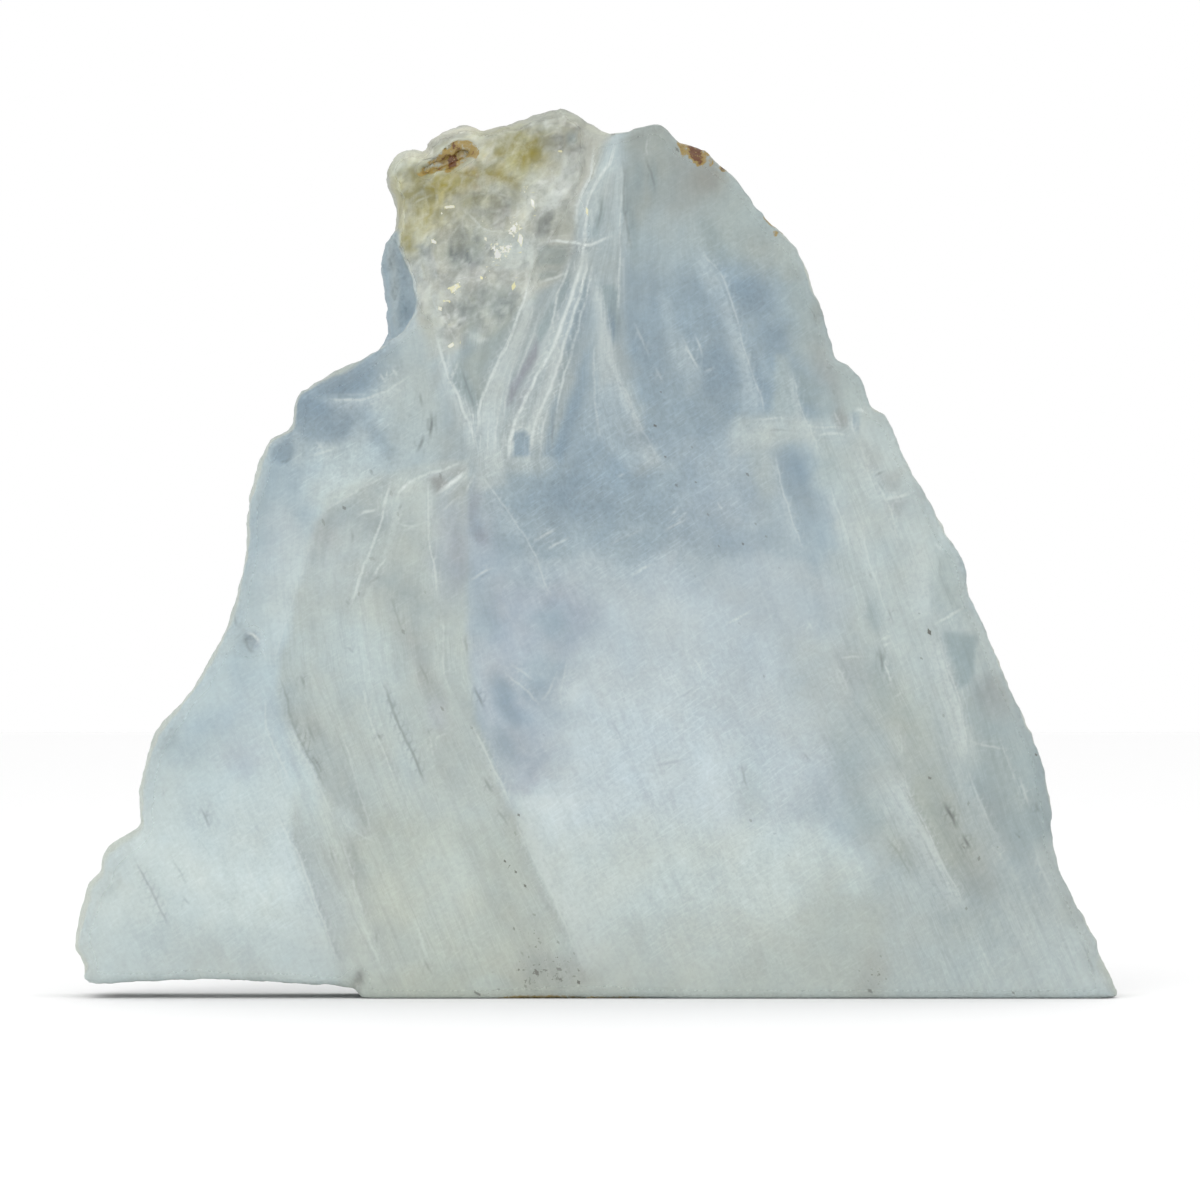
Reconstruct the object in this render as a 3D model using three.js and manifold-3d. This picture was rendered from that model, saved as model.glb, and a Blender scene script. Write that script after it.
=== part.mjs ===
// A free-standing slab of selenite, the clear form of gypsum, in millimetres with +Z up.
// One crystal mass was sawn into a plate with two flat polished faces, and its foot was sawn level so
// that it stands upright. All round, the edge is the natural outside of the crystal: rounded lobes
// on the left, a ragged cleavage edge on the right, and a broken crest with a stained hollow at the
// upper left. The front face looks along -Y, X runs along the width, and the slab stands on Z = 0.
import * as THREE from "three";
import { mergeVertices } from "three/addons/utils/BufferGeometryUtils.js";
import Module from "manifold-3d";

const wasm = await Module();
wasm.setup();

// ---------- driving dimensions ----------
const THICKNESS = 30; // between the two polished faces
const FRONT = -THICKNESS / 2; // Y of the front face
const BACK = THICKNESS / 2; // Y of the back face
const ARRIS = 0.8; // ground-off corner between a polished face and the edge
const EDGE_STEP = 2.5; // length of one facet along the outline
const BASE_STEP = 8; // the same along the level foot
const WALL_RELIEF = 3; // most that the natural edge wanders in and out between the two faces
const TEETH = 0.5; // height of the fine teeth on the cleavage edge
const LEDGE_DEPTH = 9; // thickness of the layer that has split away beside the neck
const CREST_LEAN = 5; // how far the crest's broken front falls back by the time it reaches the rim

// ---------- outline, seen from the front, as [X, Z] ----------
// Each stretch is one smooth run of the edge; a corner or a notch lies between two stretches.
// relief is the share of WALL_RELIEF that the stretch shows, teeth the share of TEETH, and round is
// how far the natural surface curves inwards by the time it meets the polished faces.
const OUTLINE = [
  {
    name: "undercut", relief: 0,
    points: [[-70, 0], [-74, 3.5], [-96, 4.9], [-118, 5.8], [-136, 5.2], [-151.6, 4.8]],
  },
  {
    name: "lowest lobe", relief: 0.5, round: 3,
    points: [[-153.6, 8.8], [-156.6, 15.5], [-155.4, 24], [-152.1, 34]],
  },
  {
    name: "middle lobe", relief: 0.5, round: 3,
    points: [[-148.6, 37.2], [-148.7, 40.5], [-146.6, 45.2], [-141, 48.7]],
  },
  {
    name: "left bulge", relief: 0.6, round: 2.5,
    points: [[-136.7, 51], [-137.6, 59], [-136.2, 66.5], [-134.2, 75], [-131, 81.8]],
  },
  {
    name: "left flank", relief: 0.6, round: 1.5,
    points: [[-124.5, 88.5], [-116, 101], [-109.5, 114.5], [-105.9, 129], [-105, 140]],
  },
  {
    name: "shoulder", relief: 0.8, round: 2,
    points: [[-104.4, 150], [-101.2, 160.5], [-97.8, 167.4], [-92.5, 170.5]],
  },
  {
    name: "shoulder step", relief: 0.8, round: 1,
    points: [[-90.6, 174], [-89.9, 180]],
  },
  {
    name: "upper slope", relief: 0.8, round: 1.5,
    points: [[-86, 183.2], [-78, 187.7], [-66.5, 193.7]],
  },
  {
    name: "neck", relief: 0.5, round: 2,
    points: [[-62.6, 198.6], [-62.8, 207], [-64.5, 220], [-62.5, 226.8]],
  },
  {
    name: "crest side", relief: 0.5, round: 3,
    points: [[-60, 230], [-60.2, 238], [-63, 246]],
  },
  {
    name: "outer knob", relief: 0.3, round: 3.5,
    points: [[-61, 251.5], [-57, 255], [-53.6, 254.6]],
  },
  {
    name: "inner knob", relief: 0.3, round: 3.5,
    points: [[-50.8, 253.6], [-49.4, 257.7], [-44, 260.7], [-38.2, 262.2]],
  },
  {
    name: "dome", relief: 0.5, round: 4,
    points: [[-34.5, 260.4], [-27, 262.2], [-17, 265.7], [-9, 266.7], [-2.6, 263.3]],
  },
  {
    name: "flat top", relief: 0.4, teeth: 0.5,
    points: [[5, 259], [11, 260.2], [18.5, 261.9], [21.7, 260.4]],
  },
  {
    name: "stained facet", relief: 0.4, teeth: 1,
    points: [[25, 256.4], [29.5, 255.7], [33.5, 253.7]],
  },
  {
    name: "upper right", relief: 0.6, teeth: 1,
    points: [[37, 250.2], [43, 244.9], [49, 236.8], [55, 230.4]],
  },
  {
    name: "temple", relief: 0.8, teeth: 0.4,
    points: [[60.5, 225], [63.4, 218], [68.2, 205.4], [72.3, 193]],
  },
  {
    name: "upper bump", relief: 0.7,
    points: [[75.2, 189.9], [80.2, 185.2], [82.1, 179]],
  },
  {
    name: "lower bump", relief: 0.6, teeth: 0.4,
    points: [[82.6, 176.9], [85.4, 175.3], [87.8, 173.9]],
  },
  {
    name: "right flank", relief: 0.6, teeth: 1,
    points: [[92, 164], [99.3, 150.4], [106.5, 137.6], [110.6, 130.6]],
  },
  {
    name: "right hip", relief: 0.6, teeth: 0.8,
    points: [[112.5, 120.5], [117.5, 110.3], [124.5, 92.8], [132.2, 76], [136.6, 59]],
  },
  {
    name: "right foot", relief: 0.5, teeth: 0.6,
    points: [[136.6, 50.5], [139.5, 38.5], [147.3, 22.8], [151.2, 15.8]],
  },
  {
    name: "foot corner", relief: 0.2,
    points: [[150.5, 14], [154, 7], [156.7, 0.8]],
  },
  {
    name: "sawn foot", relief: 0, straight: true,
    points: [[155.9, 0]],
  },
];

// Smooth, repeatable unevenness between -1 and 1.
function wave(a, b, seed) {
  const slow = Math.sin(0.19 * a + 0.13 * b + seed) * Math.cos(0.11 * a - 0.31 * b + 2.3 * seed);
  const quick = Math.sin(0.57 * a + 0.41 * b + 1.9 * seed) * Math.cos(0.43 * a + 0.27 * b - seed);
  return 0.62 * slow + 0.38 * quick;
}

// The whole outline as an even chain of points, clockwise seen from the front.
function traceOutline() {
  const chain = [];
  OUTLINE.forEach((stretch, k) => {
    const next = OUTLINE[(k + 1) % OUTLINE.length];
    const ends = [...stretch.points, next.points[0]].map(([x, z]) => new THREE.Vector2(x, z));
    const curve = stretch.straight ? new THREE.LineCurve(...ends) : new THREE.SplineCurve(ends);
    const step = stretch.straight ? BASE_STEP : EDGE_STEP;
    const steps = Math.max(1, Math.round(curve.getLength() / step));
    const spaced = curve.getSpacedPoints(steps).slice(0, -1);
    spaced.forEach((at) => chain.push({ at, stretch }));
  });
  return chain;
}

// Inward directions, averaged over the neighbours so that close points never cross as they move in.
function inwardDirections(chain) {
  const n = chain.length;
  const reach = 3;
  const raw = chain.map((_, i) => {
    const along = chain[(i + 1) % n].at.clone().sub(chain[(i + n - 1) % n].at).normalize();
    return new THREE.Vector2(along.y, -along.x);
  });
  return raw.map((_, i) => {
    const sum = new THREE.Vector2();
    for (let k = -reach; k <= reach; k++) sum.add(raw[(i + k + n) % n]);
    return sum.normalize();
  });
}

// The plate itself: rings of the outline from the front face to the back face, joined and capped.
function plateGeometry() {
  const chain = traceOutline();
  const inward = inwardDirections(chain);
  const n = chain.length;
  const depths = [FRONT, FRONT + ARRIS, FRONT * 0.55, 0, BACK * 0.55, BACK - ARRIS, BACK];
  // How far the natural surface lies behind the outline, which it touches at one depth.
  const fall = ({ stretch }, i, y) => {
    const wander = (stretch.relief ?? 0) * WALL_RELIEF * (0.5 + 0.5 * wave(i * EDGE_STEP, 3 * y, 1.3));
    return wander + (stretch.round ?? 0) * (y / BACK) ** 2;
  };
  const ring = (y) =>
    chain.map((link, i) => {
      const { at, stretch } = link;
      const ground = Math.abs(y) === BACK ? ARRIS : 0;
      if (at.y < 0.01) return new THREE.Vector3(at.x, y, at.y + ground);
      const least = Math.min(...depths.map((depth) => fall(link, i, depth)));
      const tooth = 0.5 + 0.5 * Math.sin(2.4 * i + 0.9 * Math.sin(0.7 * i + 0.2 * y));
      const away = ground + fall(link, i, y) - least + (stretch.teeth ?? 0) * TEETH * tooth;
      return new THREE.Vector3(at.x + inward[i].x * away, y, Math.max(0, at.y + inward[i].y * away));
    });
  const rings = depths.map(ring);
  const faces = [];
  for (let j = 0; j < depths.length - 1; j++) {
    for (let i = 0; i < n; i++) {
      const a = j * n + i;
      const b = j * n + ((i + 1) % n);
      faces.push([a, b, a + n], [b, b + n, a + n]);
    }
  }
  const cap = (ringPoints) => {
    const flat = ringPoints.map((p) => new THREE.Vector2(p.x, p.z));
    return THREE.ShapeUtils.triangulateShape(flat, []);
  };
  cap(rings[0]).forEach((face) => faces.push(face));
  const last = (depths.length - 1) * n;
  cap(rings.at(-1)).forEach(([a, b, c]) => faces.push([last + a, last + c, last + b]));
  const geometry = new THREE.BufferGeometry();
  const corners = rings.flat().flatMap((p) => p.toArray());
  geometry.setAttribute("position", new THREE.Float32BufferAttribute(corners, 3));
  geometry.setIndex(faces.flat());
  return geometry;
}

// ---------- solids ----------
// A geometry's faces alone, with the points that lie together joined.
function bare(geometry) {
  const copy = geometry.clone();
  copy.deleteAttribute("normal");
  copy.deleteAttribute("uv");
  return mergeVertices(copy, 1e-4);
}

function solid(geometry) {
  const merged = bare(geometry);
  return new wasm.Manifold(
    new wasm.Mesh({
      numProp: 3,
      vertProperties: merged.attributes.position.array,
      triVerts: new Uint32Array(merged.index.array),
    }),
  );
}

// A rough lump: a faceted ball stretched to its three half-sizes, made uneven, turned and placed.
function lump(size, at, turn, seed, detail = 1) {
  const geometry = bare(new THREE.IcosahedronGeometry(1, detail));
  const p = geometry.attributes.position;
  for (let i = 0; i < p.count; i++) {
    const swell = 1 + 0.14 * wave(9 * p.getX(i) + 4 * p.getZ(i), 11 * p.getY(i), seed);
    p.setXYZ(i, p.getX(i) * swell * size[0], p.getY(i) * swell * size[1], p.getZ(i) * swell * size[2]);
  }
  const place = new THREE.Matrix4().makeRotationFromEuler(new THREE.Euler(...turn));
  place.setPosition(...at);
  return solid(geometry.applyMatrix4(place));
}

// A prism through a range of depths, from an outline seen from the front.
function prism(points, from, to) {
  const shape = new THREE.Shape(points.map(([x, z]) => new THREE.Vector2(x, z)));
  const geometry = new THREE.ExtrudeGeometry(shape, { depth: to - from, bevelEnabled: false });
  geometry.rotateX(Math.PI / 2); // the shape's Y becomes Z, and its depth runs towards -Y
  geometry.translate(0, to, 0);
  return solid(geometry);
}

// ---------- the crest ----------
// The crest's front has spalled off in shell-shaped scoops that meet in ridges, and leans back
// towards the rim. at is the scoop's middle as [X, Z], and size its half width and half height.
const SCOOPS = [
  { at: [-32, 238], size: [14, 10], depth: 4.6 },
  { at: [-42, 225], size: [11, 12], depth: 4.2 },
  { at: [-12.5, 231.5], size: [10, 9], depth: 3 },
  { at: [-25, 222], size: [9, 12], depth: 2.6 },
  { at: [-54, 237], size: [9, 13], depth: 3.6 },
  { at: [-46, 209], size: [9, 9], depth: 2 },
  { at: [-17, 250], size: [16, 14], depth: 3.4 },
  { at: [-54, 219], size: [6, 11], depth: 2 },
];

function crestDepth(x, z) {
  const rise = THREE.MathUtils.smoothstep(z, 238, 261);
  const lean = CREST_LEAN * rise * (1 - THREE.MathUtils.smoothstep(x, -16, 2));
  const scoops = SCOOPS.map(({ at, size, depth }) => {
    const off = ((x - at[0]) / size[0]) ** 2 + ((z - at[1]) / size[1]) ** 2;
    return depth * (1 - off);
  });
  return Math.max(lean - 0.4, ...scoops, -1) + 0.35 * wave(3 * x, 3 * z, 0.8);
}

// Everything in front of the crest's broken surface.
function crestCutter() {
  const [left, right, low, high] = [-72, 8, 192, 272];
  const cells = 25;
  const frontSide = FRONT - 8;
  const geometry = bare(new THREE.BoxGeometry(right - left, 2, high - low, cells, 1, cells));
  geometry.translate((left + right) / 2, 0, (low + high) / 2);
  const p = geometry.attributes.position;
  for (let i = 0; i < p.count; i++) {
    const x = p.getX(i) + wave(5 * p.getX(i), 7 * p.getZ(i), 2.2);
    const z = p.getZ(i) + wave(6 * p.getX(i), 4 * p.getZ(i), 3.4);
    p.setXYZ(i, x, p.getY(i) > 0 ? FRONT + crestDepth(x, z) : frontSide, z);
  }
  return solid(geometry);
}

// The open, stained hollow between the crest's front lip and its rear rim: a ragged mouth whose
// floor drops away in two lumpy pockets.
const HOLLOW_MOUTH = [
  [-54.2, 247.4],
  [-52, 250],
  [-47.8, 251.2],
  [-43.4, 253.4],
  [-41.8, 256],
  [-37.2, 255.8],
  [-35.6, 252.2],
  [-38.2, 251.2],
  [-42.6, 247.9],
  [-47.6, 247.8],
  [-49.8, 246],
  [-52.2, 245.8],
];
const crestHollow = () => [
  prism(HOLLOW_MOUTH, FRONT - 2, FRONT + 7),
  lump([5.2, 4, 2.6], [-47.5, FRONT + 7, 249.6], [0, -0.3, 0], 2.2),
  lump([4.4, 5, 3], [-40.2, FRONT + 7.4, 252.6], [0, -0.5, 0], 4.1),
];

// Small knobs left standing on the crest's broken front.
const crestKnobs = () => [
  lump([5.5, 6, 4.6], [-56, FRONT + 8, 247.6], [0.2, 0.1, 0.4], 1.1),
  lump([6, 6, 3.6], [-42.5, FRONT + 8.5, 246.2], [0.3, -0.3, 0.3], 0.3),
  lump([5.4, 6, 3.4], [-51.6, FRONT + 7, 243.4], [0.1, 0.5, 0.1], 4.2),
  lump([5.6, 5, 3.4], [-31, FRONT + 7.6, 251], [0.2, 0.4, 0.3], 1.9),
  lump([6.4, 5, 3.2], [-12, FRONT + 6.5, 259.4], [0.2, -0.2, 0.5], 3.5),
];

// ---------- what else has broken away ----------
// The front layer is gone beside the neck, which leaves a ledge further back.
const LEDGE_EDGE = [
  [-72, 190],
  [-65, 195.4],
  [-57, 199.6],
  [-54.4, 204],
  [-53.6, 209],
  [-55.2, 216],
  [-57.6, 222],
  [-60.4, 228],
  [-72, 240],
];
const neckLedge = () => prism(LEDGE_EDGE, FRONT - 5, FRONT + LEDGE_DEPTH);

// The thin front layer that is missing at the right tip of the foot.
const FOOT_CORNER = [
  [150.8, 14.8],
  [149.2, 10.6],
  [152.6, 4.6],
  [155.2, -1],
  [160, -1],
  [160, 16],
];
const footCorner = () => prism(FOOT_CORNER, FRONT - 5, FRONT + 3);

// Chips on the long corners, and a shallow spall along the front of the foot.
const chips = () => [
  lump([3.6, 3.6, 4], [-103, FRONT - 1.6, 106.8], [0, 0.5, 0.2], 0.7),
  lump([2.6, 3.4, 4], [-109.2, FRONT - 0.6, 113.6], [0, 0.3, 0.4], 2.1),
  lump([2.4, 2.6, 4], [-71.4, FRONT - 0.6, 4.6], [0, 0.3, 0.2], 1.2),
  lump([40, 3, 2.4], [1, FRONT - 0.5, -0.7], [0, 0, 0], 2.9, 2),
  lump([6, 4.4, 3], [28.5, FRONT - 0.6, 255], [0, 0.5, 0.1], 4.4, 0),
  lump([3.6, 3, 2.4], [36.6, FRONT - 0.4, 250.6], [0, 0.8, 0], 3.1, 0),
  lump([3.4, 2.6, 2.4], [54.4, FRONT - 0.3, 230.6], [0, 0.8, 0], 0.2, 0),
  lump([9, 5, 7], [-132, BACK + 0.5, 80], [0, 0.7, 0.2], 0.8),
  lump([12, 5, 7], [16, BACK + 0.8, 262], [0.3, 0.1, 0], 2.4),
  lump([9, 5, 13], [113, BACK + 0.6, 124], [0.1, -0.4, 0.1], 4.9),
  lump([6, 4, 9], [146, BACK + 0.4, 26], [0, -0.5, 0], 1.4),
  lump([8, 5, 6], [-150, BACK + 0.4, 36], [0.1, 0.6, 0], 2.7),
];

// ---------- the slab ----------
function slabGeometry() {
  const plate = solid(plateGeometry());
  let slab = plate.subtract(crestCutter());
  crestKnobs().forEach((knob) => (slab = slab.add(knob.intersect(plate))));
  const gone = [...crestHollow(), neckLedge(), footCorner(), ...chips()];
  gone.forEach((piece) => (slab = slab.subtract(piece)));
  const { numProp, vertProperties, triVerts } = slab.getMesh();
  const count = vertProperties.length / numProp;
  const positions = new Float32Array(3 * count);
  for (let i = 0; i < count; i++) {
    positions.set(vertProperties.subarray(i * numProp, i * numProp + 3), 3 * i);
  }
  const geometry = new THREE.BufferGeometry();
  geometry.setAttribute("position", new THREE.BufferAttribute(positions, 3));
  geometry.setIndex(new THREE.BufferAttribute(triVerts, 1));
  geometry.computeBoundingBox();
  const middle = geometry.boundingBox.getCenter(new THREE.Vector3());
  geometry.translate(-middle.x, -middle.y, -geometry.boundingBox.min.z);
  geometry.computeVertexNormals();
  return geometry;
}

const selenite = new THREE.MeshStandardMaterial({ color: 0xb9c8cb, roughness: 0.25, metalness: 0 });
const slab = new THREE.Mesh(slabGeometry(), selenite);
slab.name = "selenite_slab";

const part = new THREE.Group();
part.add(slab);

export default part;
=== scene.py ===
# A free-standing slab of selenite: a milky, blue-grey crystal plate with polished faces, white healed
# cracks that fan down from its top, a natural edge, and an iron-stained, broken crest.
import math

import bpy
import numpy as np
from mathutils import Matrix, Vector, noise


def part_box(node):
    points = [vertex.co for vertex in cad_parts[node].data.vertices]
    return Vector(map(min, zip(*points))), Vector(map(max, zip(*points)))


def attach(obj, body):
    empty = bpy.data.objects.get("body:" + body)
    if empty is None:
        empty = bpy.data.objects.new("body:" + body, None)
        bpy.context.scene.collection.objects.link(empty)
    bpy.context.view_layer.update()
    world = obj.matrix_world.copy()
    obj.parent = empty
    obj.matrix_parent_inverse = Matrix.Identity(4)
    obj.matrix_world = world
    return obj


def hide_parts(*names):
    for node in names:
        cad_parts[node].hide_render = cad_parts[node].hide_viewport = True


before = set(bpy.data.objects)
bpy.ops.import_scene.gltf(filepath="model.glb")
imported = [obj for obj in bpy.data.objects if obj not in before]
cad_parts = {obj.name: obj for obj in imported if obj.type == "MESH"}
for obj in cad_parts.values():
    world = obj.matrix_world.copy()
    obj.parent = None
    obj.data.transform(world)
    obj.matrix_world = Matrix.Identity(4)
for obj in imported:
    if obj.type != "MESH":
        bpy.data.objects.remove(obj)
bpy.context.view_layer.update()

MM = 0.001
SLAB = "selenite_slab"

# ---------- sizes, in millimetres ----------
LOW, HIGH = [[v / MM for v in corner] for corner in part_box(SLAB)]
FRONT, BACK = LOW[1], HIGH[1]  # depths of the two polished faces
SKIN_CELL = 1.22  # mesh cell of the slab's surface
PLUNGE_X, PLUNGE_Z = 0.22, -0.1  # how far the crystal's layers drift sideways and down per mm of depth
SOFTEN_STEPS = 4  # how widely the line between polish and natural edge is rounded off
CRUST_RELIEF = 0.5  # unevenness of the natural edge
CREST_RELIEF = 0.7  # unevenness of the broken crest
HOLLOW_X, HOLLOW_Z = -45, 251  # middle of the stained hollow in the crest
HOLLOW_LONG, HOLLOW_SHORT = 11, 4.4  # its half length and half width
HOLLOW_SLANT = 0.91, 0.42  # cosine and sine of how it climbs to the right
HOLLOW_FLOOR, HOLLOW_FILL = 3.4, 0.85  # how deep its crust starts, and how much of what lies deeper it fills
HOLLOW_SHADE = 1.6  # depth over which its stain comes in
HOLLOW_LIMIT = 20  # deeper than this is the back of the slab, not the hollow
HOLLOW_STEPS, HOLLOW_LUMP = 24, 1.0  # how far its walls slump, and its unevenness
BREAK_DEPTH = 1.6  # how far the crest's break sinks below the polished faces
BREAK_FACET = 3.2  # size of its facets
BREAK_TILT = 0.22  # how steeply they tilt
EDGE_FROST_AND_LIGHT = 0.5  # how white the natural edge is painted: partly its frosted rind, partly painted light against the shade on its rounded sides
CRUST_ROUGHNESS, POLISH_ROUGHNESS, GLASSY_ROUGHNESS = 0.5, 0.2, 0.08
MOST_STRAY = 4.5  # how far the soft border of a colour strays
FLAT = 0.96  # skin whose normal is this square to a face may belong to it
POLISH_SINK, SAWN_TOP = 0.25, 0.3  # how far below the polish, and above the floor, such skin may lie
PIT_STRENGTH, PIT_DEPTH = 0.7, 0.7  # the fine pitting of the finish

# ---------- the crystal, seen through ----------
GYPSUM_IOR = 1.523
CLARITY = 0.45  # share of the light that passes into the crystal; the rest stops at its milky face
DEPTH_COLOUR = (0.45, 0.63, 0.72)
DEPTH_DENSITY = 16.0  # how fast the crystal takes up light, per metre

# ---------- colours, linear ----------
# Each is the finished look of a zone in soft white light.
LOOK = {
    "deep blue": (0.278, 0.353, 0.393),
    "blue": (0.340, 0.422, 0.457),
    "pale blue": (0.415, 0.503, 0.535),
    "left blue": (0.368, 0.460, 0.505),
    "left flank": (0.484, 0.582, 0.606),
    "lobe white": (0.588, 0.690, 0.705),
    "lobe grey": (0.548, 0.638, 0.643),
    "panel": (0.458, 0.526, 0.508),
    "panel warm": (0.446, 0.500, 0.455),
    "panel dark": (0.364, 0.412, 0.395),
    "milk": (0.526, 0.615, 0.648),
    "milk low": (0.516, 0.597, 0.593),
    "pale lilac": (0.452, 0.530, 0.562),
    "frost green": (0.468, 0.540, 0.535),
    "band": (0.424, 0.490, 0.482),
    "band olive": (0.378, 0.422, 0.372),
    "edge green": (0.318, 0.384, 0.380),
    "sage": (0.402, 0.475, 0.468),
    "crest grey": (0.458, 0.494, 0.445),
    "crest clear": (0.300, 0.328, 0.285),
    "crest green": (0.326, 0.376, 0.345),
    "crest yellow": (0.392, 0.394, 0.215),
    "crest pale": (0.475, 0.482, 0.315),
    "rim green": (0.600, 0.650, 0.550),
    "rim white": (0.690, 0.730, 0.655),
    "dome": (0.445, 0.468, 0.385),
    "top grey": (0.368, 0.416, 0.388),
    "warm grey": (0.340, 0.362, 0.322),
    "ribbon": (0.455, 0.525, 0.525),
    "fan grey": (0.388, 0.450, 0.448),
    "fan pale": (0.490, 0.558, 0.550),
    "crest white": (0.512, 0.556, 0.505),
    "lilac": (0.430, 0.495, 0.545),
    "lilac blue": (0.350, 0.424, 0.468),
    "lilac brown": (0.290, 0.305, 0.320),
    "brown grey": (0.320, 0.340, 0.315),
    "foot": (0.440, 0.510, 0.508),
    "foot warm": (0.464, 0.530, 0.512),
    "foot olive": (0.432, 0.492, 0.466),
}
VEIL_WHITE = (0.66, 0.735, 0.735)
STAIN_BROWN = (0.35, 0.265, 0.085)
STAIN_DARK = (0.20, 0.135, 0.05)
STAIN_OLIVE = (0.30, 0.262, 0.03)
DIRT = (0.10, 0.09, 0.07)
# painted highlights: the warm and the white colour painted for glints and glitter
GLINT_GOLD = (0.88, 0.73, 0.43)
GLINT_WHITE = (0.97, 0.97, 0.93)
CLOUD_SHADE = 0.15  # how much clouds lighten and darken the crystal where it is most uneven
STREAK_SHADE = 0.075  # how much broad streaks along the fibres do so
CLOUD_HUE = 0.03  # how much the clouds warm and cool it
FOOT_PAINTED_LIGHT, FOOT_REACH = 0.17, 28  # painted light: how much paler the foot is painted against the shade the floor casts on it, and over what height that fades
FACET_SHADE = 0.45  # painted light and shade: how much lighter or darker the tilted facets of the break are painted
FACET_RIM_HIGHLIGHT = 0.2  # painted highlight: how pale the ridges between them are painted
LIGHT_GAIN = (0.640, 0.683, 0.756)  # how bright a surface looks in this light, against its own colour
LIGHT_ADDED = (0.104, 0.104, 0.066)  # what the gloss and the light through the crystal add


def paint(look):
    """The surface colour that gives a finished look in this light."""
    parts = zip(look, LIGHT_ADDED, LIGHT_GAIN)
    return tuple(min(0.97, max(0.01, (v - more) / gain)) for v, more, gain in parts)


# ---------- fields over the slab ----------
def smooth(low, high, value):
    t = np.clip((value - low) / (high - low), 0, 1)
    return t * t * (3 - 2 * t)


def clouds(x, z, scale, seed, octaves=4):
    """Cloudy unevenness, mostly from -1 to 1, with its largest features about scale mm across."""
    total, weight = np.zeros(len(x)), 0.0
    for k in range(octaves):
        c, s = math.cos(0.6 + 1.1 * k), math.sin(0.6 + 1.1 * k)
        a, b = (c * x + s * z) / scale + 17.3 * seed, (c * z - s * x) / scale - 9.1 * seed
        i, j = np.floor(a), np.floor(b)
        u, v = smooth(0, 1, a - i), smooth(0, 1, b - j)
        corners = [
            np.sin((i + p) * 127.1 + (j + q) * 311.7 + seed) * 43758.5453
            for p, q in ((0, 0), (1, 0), (0, 1), (1, 1))
        ]
        low_a, low_b, high_a, high_b = [h - np.floor(h) for h in corners]
        mixed = (low_a * (1 - u) + low_b * u) * (1 - v) + (high_a * (1 - u) + high_b * u) * v
        share = 0.62**k
        total, weight, scale = total + share * (2 * mixed - 1), weight + share, scale * 0.5
    return 1.5 * total / weight


def curve_through(points, spacing=1.5):
    """A smooth line through given points, as closely spaced points."""
    p = np.array(points, float)
    ends = np.vstack([2 * p[0] - p[1], p, 2 * p[-1] - p[-2]])
    out = []
    for a, b, c, d in zip(ends, ends[1:], ends[2:], ends[3:]):
        n = max(2, int(np.hypot(*(c - b)) / spacing) + 1)
        t = np.linspace(0, 1, n, endpoint=False)[:, None]
        bend = (2 * a - 5 * b + 4 * c - d) * t**2 + (3 * b - a - 3 * c + d) * t**3
        out.append(0.5 * (2 * b + (c - a) * t + bend))
    return np.vstack(out + [p[-1:]])


# Lines the crystal's fibres follow, each (place across the grain, points from the top down).
GRAIN = [
    (-170, [(-245, 275), (-115, -5)]),
    (-105, [(-105, 275), (-95, 170), (-97, 130), (-94, 98), (-79, 61), (-57, 8), (-51, -5)]),
    (-62, [(-66, 275), (-58, 215), (-52, 181), (-56, 163), (-62, 150), (-67, 134), (-70, 120), (-66, 95),
        (-55, 64), (-28, -5)]),
    (-38, [(-30, 275), (-40, 240), (-47, 206), (-43, 187), (-38, 175), (-36, 163), (-41, 150), (-46, 128),
        (-44, 96), (-30, 65), (-9, 23), (5, -5)]),
    (-14, [(4, 275), (2, 256), (-12, 225), (-22, 205), (-29, 190), (-33, 180), (-34, 168), (-32, 158),
        (-24, 142), (-12, 119), (12, 60), (38, -5)]),
    (2, [(7, 275), (6.5, 257), (-1, 225), (-9.4, 201), (-14.7, 183), (-19, 164), (-15, 150), (-5, 130),
        (8, 100), (52, -5)]),
    (18, [(9, 275), (8.6, 240), (6, 222), (4, 208), (5, 193), (9.5, 178), (17, 163), (32, 130), (46, 100),
        (62, 60), (88, -5)]),
    (60, [(28, 275), (34, 223), (46, 190), (51, 173), (55.5, 155), (66, 113), (76, 90), (94, 60), (109, 31),
        (123, -5)]),
    (100, [(66, 275), (71, 200), (78, 170), (87, 150), (102, 110), (109.5, 87), (118, 53), (143, -5)]),
    (142, [(104, 275), (98, 190), (118, 130), (134, 80), (170, -5)]),
]


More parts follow.
